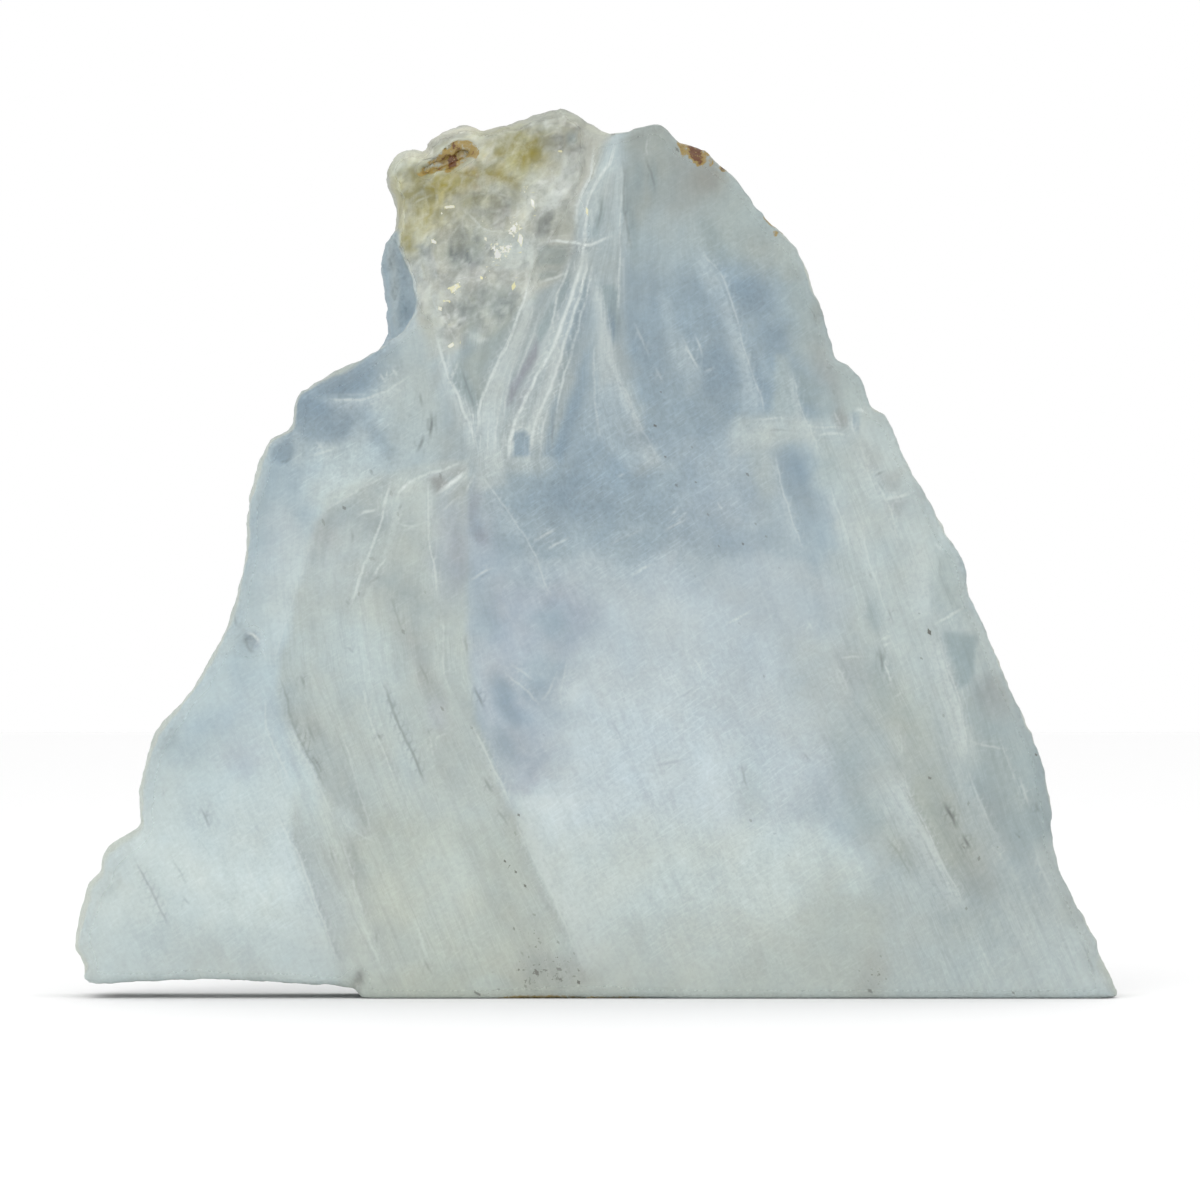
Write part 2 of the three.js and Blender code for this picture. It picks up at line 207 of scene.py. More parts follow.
class Field:
    """Places on the slab's skin, carried along the crystal's slanting layers to the front face."""

    def __init__(self, co):
        depth = co[:, 1] - FRONT
        self.x = co[:, 0] - PLUNGE_X * depth
        self.z = co[:, 2] - PLUNGE_Z * depth
        self.depth = depth
        self.stray = self.clouds(12, 7), self.clouds(11, 23)

    def clouds(self, scale, seed, octaves=4):
        return clouds(self.x, self.z, scale, seed, octaves)

    def patch(self, x, z, half_width, half_height, turn=0, soft=0.5):
        """A soft-edged oval; turn is in degrees, anticlockwise."""
        c, s = math.cos(math.radians(turn)), math.sin(math.radians(turn))
        stray = min(MOST_STRAY, 0.3 + 0.4 * min(half_width, half_height))
        dx, dz = self.x + stray * self.stray[0] - x, self.z + stray * self.stray[1] - z
        r = np.hypot((c * dx + s * dz) / half_width, (c * dz - s * dx) / half_height)
        return 1 - smooth(1 - soft, 1 + soft, r)

    def hollow(self):
        """1 inside the stained hollow of the crest, below the polished face."""
        x, z = self.x - HOLLOW_X, self.z - HOLLOW_Z
        c, s = HOLLOW_SLANT
        inside = np.hypot((c * x + s * z) / HOLLOW_LONG, (c * z - s * x) / HOLLOW_SHORT) < 1
        below = smooth(HOLLOW_FLOOR, HOLLOW_FLOOR + HOLLOW_SHADE, self.depth)
        return inside * below * (self.depth < HOLLOW_LIMIT)

    def area(self, points, soft=2.0):
        """A polygon whose edge is soft mm wide on each side."""
        p = np.array(points, float)
        stray = min(MOST_STRAY, 0.4 + 0.5 * soft)
        x, z = self.x + stray * self.stray[0], self.z + stray * self.stray[1]
        inside = np.zeros(len(self.x), bool)
        nearest = np.full(len(self.x), 1e9)
        for (ax, az), (bx, bz) in zip(p, np.roll(p, -1, 0)):
            crosses = (az > z) != (bz > z)
            inside ^= crosses & (x < ax + (z - az) * (bx - ax) / ((bz - az) or 1e-9))
            run, rise = bx - ax, bz - az
            t = np.clip(((x - ax) * run + (z - az) * rise) / (run**2 + rise**2), 0, 1)
            nearest = np.minimum(nearest, np.hypot(x - ax - t * run, z - az - t * rise))
        return smooth(-soft, soft, np.where(inside, nearest, -nearest))

    def shape(self, mark):
        """How far each place lies in a mark: (oval,), or (softness, polygon)."""
        return self.patch(*mark[0]) if len(mark) == 1 else self.area(mark[1], mark[0])

    def strongest(self, marks):
        """The strongest mark at each place; each is (strength, oval) or (strength, softness, polygon)."""
        return np.maximum.reduce([strength * self.shape(mark) for strength, *mark in marks])

    def layered(self, base, marks):
        """A value laid over another, mark by mark; each is (value, oval) or (value, softness, polygon)."""
        out = np.full(len(self.x), base)
        for value, *mark in marks:
            out = out + (value - out) * self.shape(mark)
        return out

    def grain(self):
        """Place across the grain and along it, for every point."""
        order = [(u, np.array(sorted(p, key=lambda q: q[1]), float)) for u, p in GRAIN]
        xs = [np.interp(self.z, p[:, 1], p[:, 0]) for _, p in order]
        across = np.full(len(self.x), float(order[0][0]))
        for (u0, _), (u1, _), a, b in zip(order, order[1:], xs, xs[1:]):
            t = (self.x - a) / np.maximum(b - a, 0.5)
            across = np.where(t > 0, u0 + (u1 - u0) * np.minimum(t, 1), across)
        beyond = np.maximum(self.x - xs[-1], 0) + np.minimum(self.x - xs[0], 0)
        return across + beyond, self.z

    def beside(self, line, reach):
        """The places within reach of a line: index, distance, signed distance, place along it; its length."""
        low, high = line.min(0) - reach, line.max(0) + reach
        near = np.flatnonzero((self.x > low[0]) & (self.x < high[0]) & (self.z > low[1]) & (self.z < high[1]))
        x, z = self.x[near], self.z[near]
        gone = np.concatenate([[0], np.cumsum(np.hypot(*np.diff(line, axis=0).T))])
        best = np.full(len(near), 1e9)
        across, along = np.zeros(len(near)), np.zeros(len(near))
        for i in range(len(line) - 1):
            a, d = line[i], line[i + 1] - line[i]
            length = max(np.hypot(*d), 1e-6)
            t = np.clip(((x - a[0]) * d[0] + (z - a[1]) * d[1]) / length**2, 0, 1)
            dist = np.hypot(x - a[0] - t * d[0], z - a[1] - t * d[1])
            closer = dist < best
            best[closer] = dist[closer]
            across[closer] = ((d[0] * (z - a[1]) - d[1] * (x - a[0])) / length)[closer]
            along[closer] = (gone[i] + t * length)[closer]
        keep = best < reach
        return near[keep], best[keep], across[keep], along[keep], gone[-1]


# ---------- the slab's soft colours ----------
# (look, strength, oval: x, z, half width, half height, turn, softness) or (look, strength, softness, polygon)
ZONES = [
    # left flank, shoulder and lobes
    ("left flank", 1, 8, [(-170, -10), (-170, 175), (-100, 175), (-92, 130), (-92, 60), (-78, -10)]),
    ("lobe white", 1, (-110, 38, 40, 30, 0, 0.9)),
    ("lobe grey", 1, (-146, 20, 22, 30, 0, 0.9)),
    ("lobe grey", 1, (-112, 8, 50, 15, 0, 0.9)),
    ("frost green", 0.4, (-120, 2, 50, 9, 0, 0.9)),
    ("lobe grey", 0.7, (-134, 66, 9, 16, 10, 0.8)),
    ("left flank", 0.6, (-124, 74, 22, 9, 20, 0.9)),
    ("left blue", 0.6, (-124, 79, 7, 6, 0, 0.8)),
    ("left blue", 0.55, (-115, 84, 10, 4, 10, 0.8)),
    ("lilac", 0.5, (-107, 73, 7, 5, 0, 0.9)),
    ("left blue", 0.5, (-106, 97, 4, 9, 12, 0.7)),
    ("left blue", 0.4, (-107, 112, 3, 6, 15, 0.8)),
    ("lilac blue", 0.75, 0.6, [(-104.8, 109.4), (-101, 109.6), (-99.6, 106), (-102, 104.2), (-104, 106)]),
    ("left blue", 0.35, (-101, 126, 5, 12, -8, 0.8)),
    ("left blue", 0.6, (-101, 142, 4, 9, -6, 0.8)),
    ("lilac", 0.5, (-94, 138, 5, 14, -10, 0.8)),
    ("lobe grey", 0.45, (-90, 122, 8, 16, -14, 0.8)),
    ("left flank", 0.8, (-78, 156, 15, 10, 12, 0.8)),
    ("lobe grey", 0.35, (-84, 160, 7, 4, -30, 0.9)),
    ("left blue", 0.8, (-95, 155, 4, 8, -8, 0.7)),
    ("left blue", 0.75, (-88, 149, 3.5, 7, 25, 0.8)),
    ("left blue", 0.8, 3, [(-95, 170), (-91, 183), (-66, 198), (-56, 197), (-57, 186), (-66, 179),
        (-70, 172), (-86, 162)]),
    ("deep blue", 0.75, 1.4, [(-88, 181.6), (-82, 185), (-74, 188), (-65, 193.6), (-59.6, 194),
        (-57.6, 190), (-60, 186), (-66, 182.4), (-74, 180.6), (-82, 180)]),
    ("deep blue", 0.75, 1.6, [(-91, 179), (-86, 181.6), (-83, 179), (-80, 177), (-74, 176), (-72, 172),
        (-75, 168), (-80, 165.6), (-86, 166), (-89.6, 171)]),
    ("deep blue", 0.45, 1.2, [(-74, 176.4), (-66, 178.4), (-64.6, 175.4), (-70, 173)]),
    ("deep blue", 0.8, 1.2, [(-96.4, 166), (-91.4, 169.6), (-90, 163.4), (-92.6, 160), (-97, 161),
        (-98, 164)]),
    ("deep blue", 0.45, 1.2, [(-70, 172), (-66, 173), (-60, 166), (-61, 161), (-65, 165)]),
    ("left blue", 0.75, 1.4, [(-98, 159), (-94.6, 160), (-95, 152), (-97, 146), (-103, 142), (-101, 147),
        (-98.6, 152)]),
    ("left blue", 0.6, 1.2, [(-93, 156), (-89, 155), (-84, 148), (-83, 143), (-86, 143), (-89, 149)]),
    ("left flank", 0.7, (-60, 176, 5, 8, 20, 0.8)),
    ("left flank", 0.6, (-76, 158, 12, 7, 12, 0.8)),
    ("lobe grey", 0.4, (-78, 153, 8, 5, 20, 0.9)),
    ("left flank", 0.5, 1.0, [(-84, 179.4), (-70, 179.6), (-62, 183), (-56, 187), (-56, 184), (-62, 180),
        (-70, 177.6)]),
    # middle, upper part: grey-green above, blue depth below
    ("sage", 1, 4, [(8, 264), (40, 262), (66, 220), (88, 180), (92, 150), (44, 170), (10, 214)]),
    ("pale blue", 0.5, (22, 228, 11, 10, -20, 0.9)),
    ("blue", 1, 7, [(9, 220), (24, 222), (40, 220), (56, 214), (60, 196), (68, 184), (70, 158), (66, 142),
        (52, 134), (38, 140), (24, 128), (6, 138), (-8, 126), (-28, 130), (-38, 160), (-10, 190)]),
    ("deep blue", 0.25, (28, 212, 3.4, 6, 8, 0.9)),
    ("deep blue", 0.2, (14, 198, 5.5, 12, 12, 0.9)),
    ("pale blue", 0.55, 1.6, [(19, 210), (23, 209), (26, 200), (28.6, 193), (33, 184), (28, 180),
        (24.6, 186), (21.6, 196)]),
    ("deep blue", 0.65, 2.2, [(27.4, 200), (30.4, 200), (32.6, 196), (38, 196.6), (41.6, 190), (42.4, 184),
        (40.6, 176), (38, 174), (34, 180), (32.6, 186), (29.6, 191)]),
    ("deep blue", 0.5, 1.8, [(38, 178), (43, 178), (41, 171), (36, 172)]),
    ("pale blue", 0.75, 1.2, [(31, 224), (36.6, 216), (40.6, 208), (43.8, 196), (47.4, 185), (50.8, 173),
        (44, 171), (43.4, 184), (41.6, 191), (38, 202), (34.6, 209), (31, 217)]),
    ("deep blue", 0.7, 2.2, [(39.6, 213), (46, 214.6), (52.4, 214), (53.6, 206), (50.4, 203), (45.6, 203.6),
        (42.4, 206)]),
    ("deep blue", 0.6, 2.2, [(50, 201), (56, 200), (58, 194), (53.6, 190), (48.6, 192), (47.4, 196)]),
    ("deep blue", 0.6, 1.0, [(44.4, 197), (48, 194), (50.6, 186), (53, 181), (51.8, 173.6), (50.6, 174),
        (47.6, 185)]),
    ("sage", 0.8, 1.2, [(54, 193), (58, 192), (60, 182), (62.6, 174), (53.6, 174), (53.6, 184)]),
    ("edge green", 0.8, 1.2, [(59.4, 189), (63.6, 186), (68, 183), (66.6, 178.6), (62, 177.6),
        (60.4, 182.6)]),
    ("sage", 0.6, (69, 178, 4, 6, 20, 0.8)),
    ("sage", 0.9, (63, 204, 4, 14, 14, 0.7)),
    ("brown grey", 0.5, (67.5, 190, 2.6, 6, 12, 0.7)),
    ("top grey", 0.7, (66, 205, 1.8, 4, 10, 0.7)),
    ("warm grey", 0.3, (50, 224, 5, 5, -30, 0.9)),
    ("top grey", 0.7, (59, 216, 3, 3, 0, 0.8)),
    ("blue", 0.9, 3, [(-30, 160), (-8, 172), (-4, 192), (0, 200), (2, 184), (8, 168), (22, 176), (50, 174),
        (56, 160), (30, 134)]),
    ("deep blue", 0.8, (-4, 166, 5.5, 15, -8, 0.8)),
    ("deep blue", 0.5, (-16, 150, 9, 7, -10, 0.9)),
    ("deep blue", 0.6, (6, 146, 16, 11, 8, 0.9)),
    ("deep blue", 0.55, (17, 166, 5, 4, -30, 0.8)),
    ("deep blue", 0.5, (27, 154, 7, 4, 20, 0.9)),
    ("deep blue", 0.55, (-16, 138, 7, 4.5, 20, 0.8)),
    ("deep blue", 0.4, (20, 136, 9, 3, 14, 0.9)),
    ("deep blue", 0.45, (42, 135, 8, 4, 0, 0.9)),
    ("lilac blue", 0.6, (36, 146, 12, 9, 0, 0.9)),
    ("band", 1, 2.2, [(43, 174), (60, 174), (84, 172), (84, 160), (70, 158), (67, 166), (54, 165),
        (40, 162)]),
    ("milk low", 0.5, (47, 168.5, 8, 3.4, 0, 0.9)),
    ("milk low", 0.25, (62, 171, 14, 2.4, 0, 0.9)),
    ("sage", 0.85, (50, 156, 3.4, 10, 10, 0.7)),
    ("deep blue", 0.8, 1.6, [(53.8, 160.4), (56, 164), (60, 163.6), (63, 158), (65, 151), (60.4, 147),
        (57.4, 150)]),
    ("sage", 0.8, (70, 158, 4, 7, 14, 0.8)),
    ("pale blue", 0.6, (57, 141, 4, 8, 16, 0.8)),
    ("left blue", 0.7, (67, 136, 6, 8, 10, 0.8)),
    # middle, lower part: milk
    ("pale lilac", 1, 9, [(-18, 126), (-4, 132), (10, 126), (24, 137), (36, 128), (50, 137), (64, 130),
        (80, 126), (84, 60), (-24, 60), (-14, 96)]),
    ("lilac blue", 0.45, (4, 110, 9, 6, 10, 0.9)),
    ("milk", 1, 6, [(-9, 102), (8, 118), (26, 121), (40, 112), (56, 106), (66, 84), (62, 56), (76, 40),
        (60, -8), (-2, -8), (-24, 58), (-10, 62), (-14, 80)]),
    ("milk", 0.8, (8, 70, 24, 26, 0, 0.9)),
    ("pale lilac", 0.55, (44, 86, 9, 12, 10, 0.9)),
    ("pale lilac", 0.45, (30, 84, 7, 10, 10, 0.9)),
    ("left flank", 0.5, (46, 68, 4, 9, 24, 0.8)),
    ("sage", 0.5, (46, 60, 4, 8, 24, 0.8)),
    ("milk", 0.6, (32, 62, 8, 9, 0, 0.9)),
    ("frost green", 0.75, (70, 96, 11, 26, 8, 0.8)),
    ("pale lilac", 0.5, (60, 118, 10, 10, 0, 0.9)),
    ("lobe white", 0.35, (-16, 54, 7, 8, 0, 0.8)),
    ("milk low", 1, 9, [(-24, 50), (60, 52), (86, 42), (90, -20), (0, -20)]),
    ("lobe white", 0.4, (62, 44, 12, 9, 10, 0.8)),
    ("foot warm", 0.95, 8, [(-12, 22), (50, 26), (84, 34), (92, -20), (0, -20)]),
    ("foot olive", 0.75, 6, [(0, 6), (40, 8), (66, 28), (84, 34), (90, -20), (0, -20)]),
    ("foot olive", 0.5, (72, 22, 10, 18, 14, 0.9)),
    # the lilac-blue depth right of the panel
    ("lilac", 0.8, 5, [(-37, 130), (-12, 126), (0, 116), (-8, 104), (-12, 84), (-17, 64), (-25, 62),
        (-34, 88), (-38, 106)]),
    ("pale blue", 0.5, (-20, 127, 12, 4, 0, 0.9)),
    ("left blue", 0.6, (-33, 112, 4, 6, 0, 0.8)),
    ("left blue", 0.85, (-14, 113, 6, 5, -20, 0.8)),
    ("left blue", 0.8, (-16, 98, 8, 7, 10, 0.8)),
    ("deep blue", 0.75, (-27, 91, 3, 7, 22, 0.7)),
    ("deep blue", 0.6, (-17, 92, 4.5, 2.8, -30, 0.8)),
    ("deep blue", 0.6, (-23, 84, 4, 2.8, -20, 0.8)),
    ("deep blue", 0.6, (-27, 77, 2.6, 5, 20, 0.7)),
    ("left blue", 0.5, (-13, 85, 6, 4, 0, 0.8)),
    ("lilac", 0.3, (-19, 72, 6, 6, 0, 0.9)),
    ("milk", 0.5, (-3, 92, 5, 12, 0, 0.8)),
    # the clearer panel, left of the middle
    ("panel", 1, 1.4, [(-80, 152), (-60, 158), (-38, 162), (-38, 107), (-35, 83), (-23, 51), (-10, 25),
        (4, -6), (-72, -6), (-84, 29), (-91, 47), (-90, 70), (-96, 92), (-90, 120)]),
    ("panel", 0.8, (-54, 180, 8, 24, 4, 0.7)),
    ("panel warm", 0.9, 7, [(-88, 60), (-60, 56), (-24, 50), (0, -20), (-76, -20)]),
    ("panel dark", 0.45, (-56, 118, 5, 14, 14, 0.8)),
    ("brown grey", 0.4, (-55, 104, 3, 9, 18, 0.8)),
    ("brown grey", 0.4, (-48, 90, 3, 12, 22, 0.8)),
    ("panel dark", 0.6, 1.8, [(-87, 88), (-80, 80), (-75, 70), (-70, 60), (-67, 48), (-71, 48), (-77, 55),
        (-83, 70)]),
    ("lilac", 0.45, (-47, 85, 3, 4, 20, 0.8)),
    ("left flank", 0.55, (-78, 104, 9, 12, 10, 0.9)),
    ("left flank", 0.5, (-66, 96, 6, 12, 14, 0.9)),
    ("left flank", 0.4, (-56, 72, 3, 13, 22, 0.8)),
    ("left flank", 0.7, (-89, 66, 4, 14, 22, 0.7)),
    ("left blue", 0.4, (-94, 78, 4, 10, 20, 0.8)),
    ("left flank", 0.5, (-75, 53, 5, 4, -40, 0.8)),
    ("panel dark", 0.35, (-73, 44, 3, 9, 16, 0.8)),
    ("panel", 0.5, (-42, 34, 12, 12, 0, 0.9)),
    ("panel dark", 0.3, (-20, 20, 5, 18, 22, 0.8)),
    ("panel dark", 0.35, (-62, 12, 6, 12, 16, 0.8)),
    ("lilac", 0.65, (-44, 138, 5, 16, 0, 0.8)),
    ("lilac", 0.6, (-34, 138, 4, 9, 0, 0.8)),
    ("deep blue", 0.5, (-35.4, 141, 1.8, 4.0, 10, 0.8)),
    ("lilac brown", 0.5, (-34, 138, 2.0, 3.0, 20, 0.8)),
    ("lilac brown", 0.45, (-36, 149, 1.8, 7, -8, 0.8)),
    ("lilac brown", 0.4, (-41, 132, 2.5, 8, 0, 0.8)),
    ("left blue", 0.5, (-34, 122, 4, 8, 0, 0.8)),
    ("brown grey", 0.9, 1.0, [(-49.4, 155.5), (-46, 157), (-43.6, 154.6), (-48, 150.6)]),
    ("brown grey", 0.6, 1.0, [(-46, 158), (-38, 159.5), (-42, 155.5)]),
    ("panel dark", 0.6, 1.0, [(-45, 150.5), (-37, 156.5), (-38, 152), (-44, 148)]),
    ("panel dark", 0.8, (-67, 143, 4, 4, 10, 0.7)),
    ("panel dark", 0.6, (-65, 154, 5, 2.5, 28, 0.8)),
    ("panel dark", 0.7, 1.4, [(-84, 142), (-76, 148), (-68, 153), (-61, 156), (-61, 151), (-70, 145),
        (-80, 139)]),
    ("brown grey", 0.75, (-80, 137, 3.2, 2.6, 0, 0.7)),
    ("panel dark", 0.5, (-82, 134, 4, 4, 0, 0.8)),
    ("panel dark", 0.45, (-67, 126, 4, 3, 20, 0.8)),
    ("panel dark", 0.6, (-45, 165, 4, 5, 20, 0.8)),
    # right side: fibrous greenish bands
    ("band", 1, 5, [(84, 176), (98, 160), (114, 120), (142, 50), (160, 0), (88, -6), (82, 50), (76, 100),
        (72, 130), (74, 156)]),
    ("sage", 0.5, (88, 164, 7, 10, 20, 0.7)),
    ("frost green", 0.7, (84, 160, 4, 12, 16, 0.8)),
    ("frost green", 0.7, (96, 134, 3.5, 18, 10, 0.8)),
    ("frost green", 0.6, (84, 130, 3, 18, 12, 0.8)),
    ("frost green", 0.5, (76, 140, 3, 10, 12, 0.8)),
    ("edge green", 0.6, (104, 126, 4.5, 12, 10, 0.8)),
    ("edge green", 1, 1.2, [(103.5, 110), (114, 109), (112, 94), (108.5, 93)]),
    ("edge green", 0.7, 5, [(112, 92), (124, 96), (138, 72), (138, 50), (126, 44), (114, 66)]),
    ("brown grey", 0.6, (120, 91, 5, 6, 40, 0.7)),
    ("sage", 0.7, (128, 66, 4, 12, 10, 0.8)),
    ("band olive", 0.55, 3.5, [(92.5, 68), (102, 70), (107, 62), (114, 46), (118, 30), (109, 30), (103, 42),
        (96, 56)]),
    ("band olive", 0.7, (98.6, 56, 3.4, 9, 26, 0.7)),
    ("band olive", 0.5, (105, 44, 2.6, 8, 24, 0.7)),
    ("band olive", 0.55, (92, 84, 6, 14, 20, 0.8)),
    ("edge green", 0.6, (84.5, 54, 4.4, 6, 14, 0.8)),
    ("band olive", 0.5, (92, 43, 3, 7, 30, 0.8)),
    ("sage", 0.7, (74, 74, 4.5, 9, 10, 0.8)),
    ("sage", 0.6, (78, 60, 4, 10, 14, 0.8)),
    ("brown grey", 0.3, (78, 98, 6.5, 5.5, 14, 0.9)),
    ("edge green", 0.6, (84, 116, 3, 6, 10, 0.7)),
    ("edge green", 0.4, (86, 96, 3.5, 8, 10, 0.8)),
    ("foot", 0.85, (138, 14, 22, 16, 0, 0.8)),
    ("sage", 0.5, (116, 24, 14, 16, 10, 0.8)),
    ("brown grey", 0.3, (114, 36, 5, 8, 20, 0.8)),
    ("brown grey", 0.35, 1.6, [(67.6, 190), (71.6, 190), (74.6, 180), (76.6, 171.4), (74, 171), (71.4, 180),
        (68.4, 186)]),
    ("brown grey", 0.6, (73.5, 173, 1.8, 3, 20, 0.6)),
    ("brown grey", 0.4, 1.2, [(79.6, 166), (84.6, 165.4), (86, 158.6), (82, 157.6)]),
    ("brown grey", 0.45, 1.0, [(84.6, 157), (92, 158.4), (91.6, 152.6), (87.4, 151.6)]),
    ("brown grey", 0.5, (90.5, 147.5, 3, 2.4, 20, 0.7)),
    ("deep blue", 0.6, (78, 172.5, 1.5, 3.2, 5, 0.6)),
    # the fan of healed cracks
    ("fan grey", 1, 3, [(-12, 262), (8.5, 262), (8.6, 228), (7.6, 200), (12, 178), (21, 158), (14, 157),
        (2, 172), (-6, 160), (-11, 160), (-34, 154), (-46, 172), (-31, 190), (-21, 210), (-20, 228)]),
    ("blue", 0.7, 3, [(-14, 164), (-9, 178), (-4, 190), (-1, 196), (1, 184), (4, 172), (2, 158),
        (-12, 156)]),
    ("deep blue", 0.9, 1.4, [(-13, 163), (-10.4, 172), (-7.6, 180), (-4.4, 190), (-2.4, 194.5), (-2.4, 186),
        (-4.6, 177), (-7, 168), (-10, 160)]),
    ("deep blue", 0.5, (-4, 170, 4, 12, -8, 0.8)),
    ("pale blue", 0.5, (2, 180, 4, 10, -8, 0.8)),
    ("ribbon", 0.7, 1.5, [(0.2, 217), (2.4, 209), (4.2, 200), (5.2, 193), (7, 186), (10.6, 178.6),
        (14, 171), (17, 166), (18, 163), (12, 165), (7, 170), (3, 177), (1, 188), (0, 200)]),
    ("edge green", 0.95, 1.0, [(1.4, 214), (7, 213), (7.3, 202), (5.6, 195.6), (3.9, 201)]),
    ("deep blue", 0.7, (5, 201, 1.3, 4.6, 8, 0.6)),
    ("band", 0.6, 1.6, [(0.5, 226), (7.4, 228), (7.4, 214), (2, 216)]),
    ("fan pale", 0.7, 1.2, [(-20.8, 219.6), (-21.6, 208), (-25, 197), (-29, 189.4), (-33.4, 180.6),
        (-35, 172), (-29.5, 170), (-28, 179), (-25.4, 187), (-21.6, 197), (-18.4, 206.6), (-18, 213)]),
    ("fan pale", 0.75, 1.2, [(-5, 222.4), (-1.6, 223), (-3, 213), (-6.6, 202), (-9.6, 192), (-12.6, 183.4),
        (-16.6, 175), (-18.6, 166), (-21, 161), (-20.8, 170), (-17.4, 180), (-14.6, 188), (-12.4, 196),
        (-9.6, 207)]),
    ("fan pale", 0.5, 1.2, [(-13, 197), (-10.6, 203), (-12.4, 208), (-14.8, 201), (-19.6, 188), (-25, 175),
        (-27, 163), (-24.6, 164), (-20.6, 178)]),
    ("lilac brown", 0.75, 0.9, [(-18.4, 196), (-16.8, 198.6), (-17.6, 192), (-21, 186), (-24.6, 178.6),
        (-26.6, 177), (-25, 184), (-21.6, 190)]),
    ("edge green", 0.85, 0.8, [(-13.6, 209), (-12, 206.8), (-13.6, 200.4), (-17, 196), (-17.6, 200),
        (-15.6, 204)]),
    ("edge green", 0.7, 0.8, [(-8.6, 217.5), (-6.8, 215.6), (-9.4, 209), (-11.4, 205), (-11, 211)]),
    ("edge green", 0.75, 0.8, [(-3.4, 216.4), (-1.4, 213), (-4, 205), (-6.2, 199.6), (-5, 208)]),
    ("edge green", 0.5, 0.9, [(-6.4, 203), (-4.6, 199), (-8, 188), (-10.4, 184), (-9.4, 192)]),
    ("lilac brown", 0.35, (-21, 180.5, 1.2, 6, -25, 0.7)),
    ("deep blue", 0.6, 0.8, [(-12.6, 180), (-10.6, 181), (-12.4, 172), (-13.4, 163), (-15.4, 163),
        (-14.6, 172)]),
    ("deep blue", 0.95, 0.7, [(-24.5, 169.3), (-22, 170), (-19.8, 168.4), (-19.4, 162.8), (-25.2, 162)]),
    ("ribbon", 0.7, 1.6, [(-34, 172), (-31, 172), (-28, 160), (-27, 153), (-36, 152), (-36, 163)]),
    ("ribbon", 0.6, 1.6, [(-48.5, 200), (-45, 199), (-39.6, 181), (-34.4, 172), (-36, 164), (-41, 170),
        (-46, 184)]),
    # between the fan and the right-hand face
    ("top grey", 0.9, 3, [(9, 264), (22, 262), (28, 254), (22, 246), (17, 236), (13, 228), (10, 238)]),
    ("warm grey", 0.95, (31, 246, 7, 5.5, -40, 0.8)),
    ("warm grey", 0.45, (26, 238, 7, 7, -20, 0.9)),
    ("edge green", 0.7, (11, 232, 1.8, 12, 4, 0.7)),
    ("edge green", 0.7, (13, 246, 2.0, 6, 4, 0.8)),
    ("edge green", 0.7, (17.4, 246, 1.2, 6, 8, 0.8)),
    ("edge green", 0.75, (35, 227, 2.6, 6, 20, 0.8)),
    # the broken crest
    ("crest grey", 1, 2.0, [(-68, 262), (-4, 272), (5, 262), (2, 250), (-5, 236), (-7, 227), (-10, 216),
        (-20, 210), (-30, 198), (-40, 194), (-50, 192), (-54, 206), (-60, 224), (-68, 240)]),
    ("left flank", 0.5, 1.4, [(5.4, 262), (8.4, 262), (8.4, 230), (6, 228), (-5, 227), (-6, 234), (-2, 243),
        (3, 252)]),
    ("fan grey", 0.8, 0.9, [(3.4, 243), (5.6, 247), (7.4, 240), (7.2, 230), (1.2, 227), (-0.9, 228)]),
    ("edge green", 0.9, 0.7, [(3, 242.5), (3.2, 238), (1.6, 230.6), (0.2, 227), (-0.9, 229), (0.4, 235)]),
    ("crest white", 0.85, 3, [(-28, 226), (-20, 228), (-14, 236), (-7, 240), (-3, 248), (-4, 256),
        (-9, 254), (-16, 247), (-22, 243), (-24.4, 236)]),
    ("crest white", 0.9, 2, [(-32, 219), (-26, 232), (-20, 234), (-19, 222), (-24, 217)]),
    ("frost green", 0.7, (-26, 225, 6, 5, 20, 0.8)),
    ("crest pale", 0.8, 2, [(-64, 252), (-54, 250), (-46, 247), (-38, 247), (-34, 252), (-36, 257),
        (-28, 259), (-17, 259), (-16, 250), (-23, 245), (-30, 243), (-38, 243), (-45, 238), (-50, 231),
        (-53, 223), (-60, 226)]),
    ("rim green", 0.95, 1.6, [(-66, 256), (-52, 256), (-50.6, 250.6), (-56, 249.6), (-58, 247),
        (-62, 245)]),
    ("rim green", 0.9, 1.4, [(-50.4, 252.6), (-48, 258), (-38, 264), (-33, 261), (-36, 257.4), (-42, 257),
        (-46, 253.8)]),
    ("rim white", 0.8, (-57, 254, 6, 2.2, 0, 0.8)),
    ("rim white", 0.8, (-43, 260.4, 8, 2, 8, 0.8)),
    ("rim green", 0.6, (-28, 261, 9, 1.8, 12, 0.8)),
    ("dome", 0.9, 2, [(-22, 260), (-16, 254), (-9, 253.4), (-4.4, 257), (-4.6, 262), (-8, 265),
        (-16, 264)]),
    ("rim green", 0.35, (-11, 265.6, 8, 1.6, 0, 0.8)),
    ("crest yellow", 0.5, (-19, 259, 7, 2.4, 8, 0.8)),
    ("crest green", 0.85, 0.9, [(-9, 259.6), (-6.4, 259.8), (-5.8, 257), (-7.4, 255.4), (-9.2, 257)]),
    ("crest yellow", 1, 1.8, [(-54, 244), (-46, 248), (-38, 249), (-34, 247), (-38, 243), (-44, 240),
        (-50, 240)]),
    ("crest yellow", 0.6, 1.6, [(-55, 240), (-47, 241), (-43, 236), (-46, 230), (-52, 232)]),
    ("crest yellow", 0.8, (-56.5, 226.5, 3.2, 4.4, 20, 0.7)),
    ("crest yellow", 0.8, (-25, 254, 8, 5, 14, 0.8)),
    ("crest grey", 0.6, (-34, 254.6, 3.4, 2.6, 0, 0.7)),
    ("crest grey", 0.4, (-33.4, 250.4, 2.4, 2, 0, 0.7)),
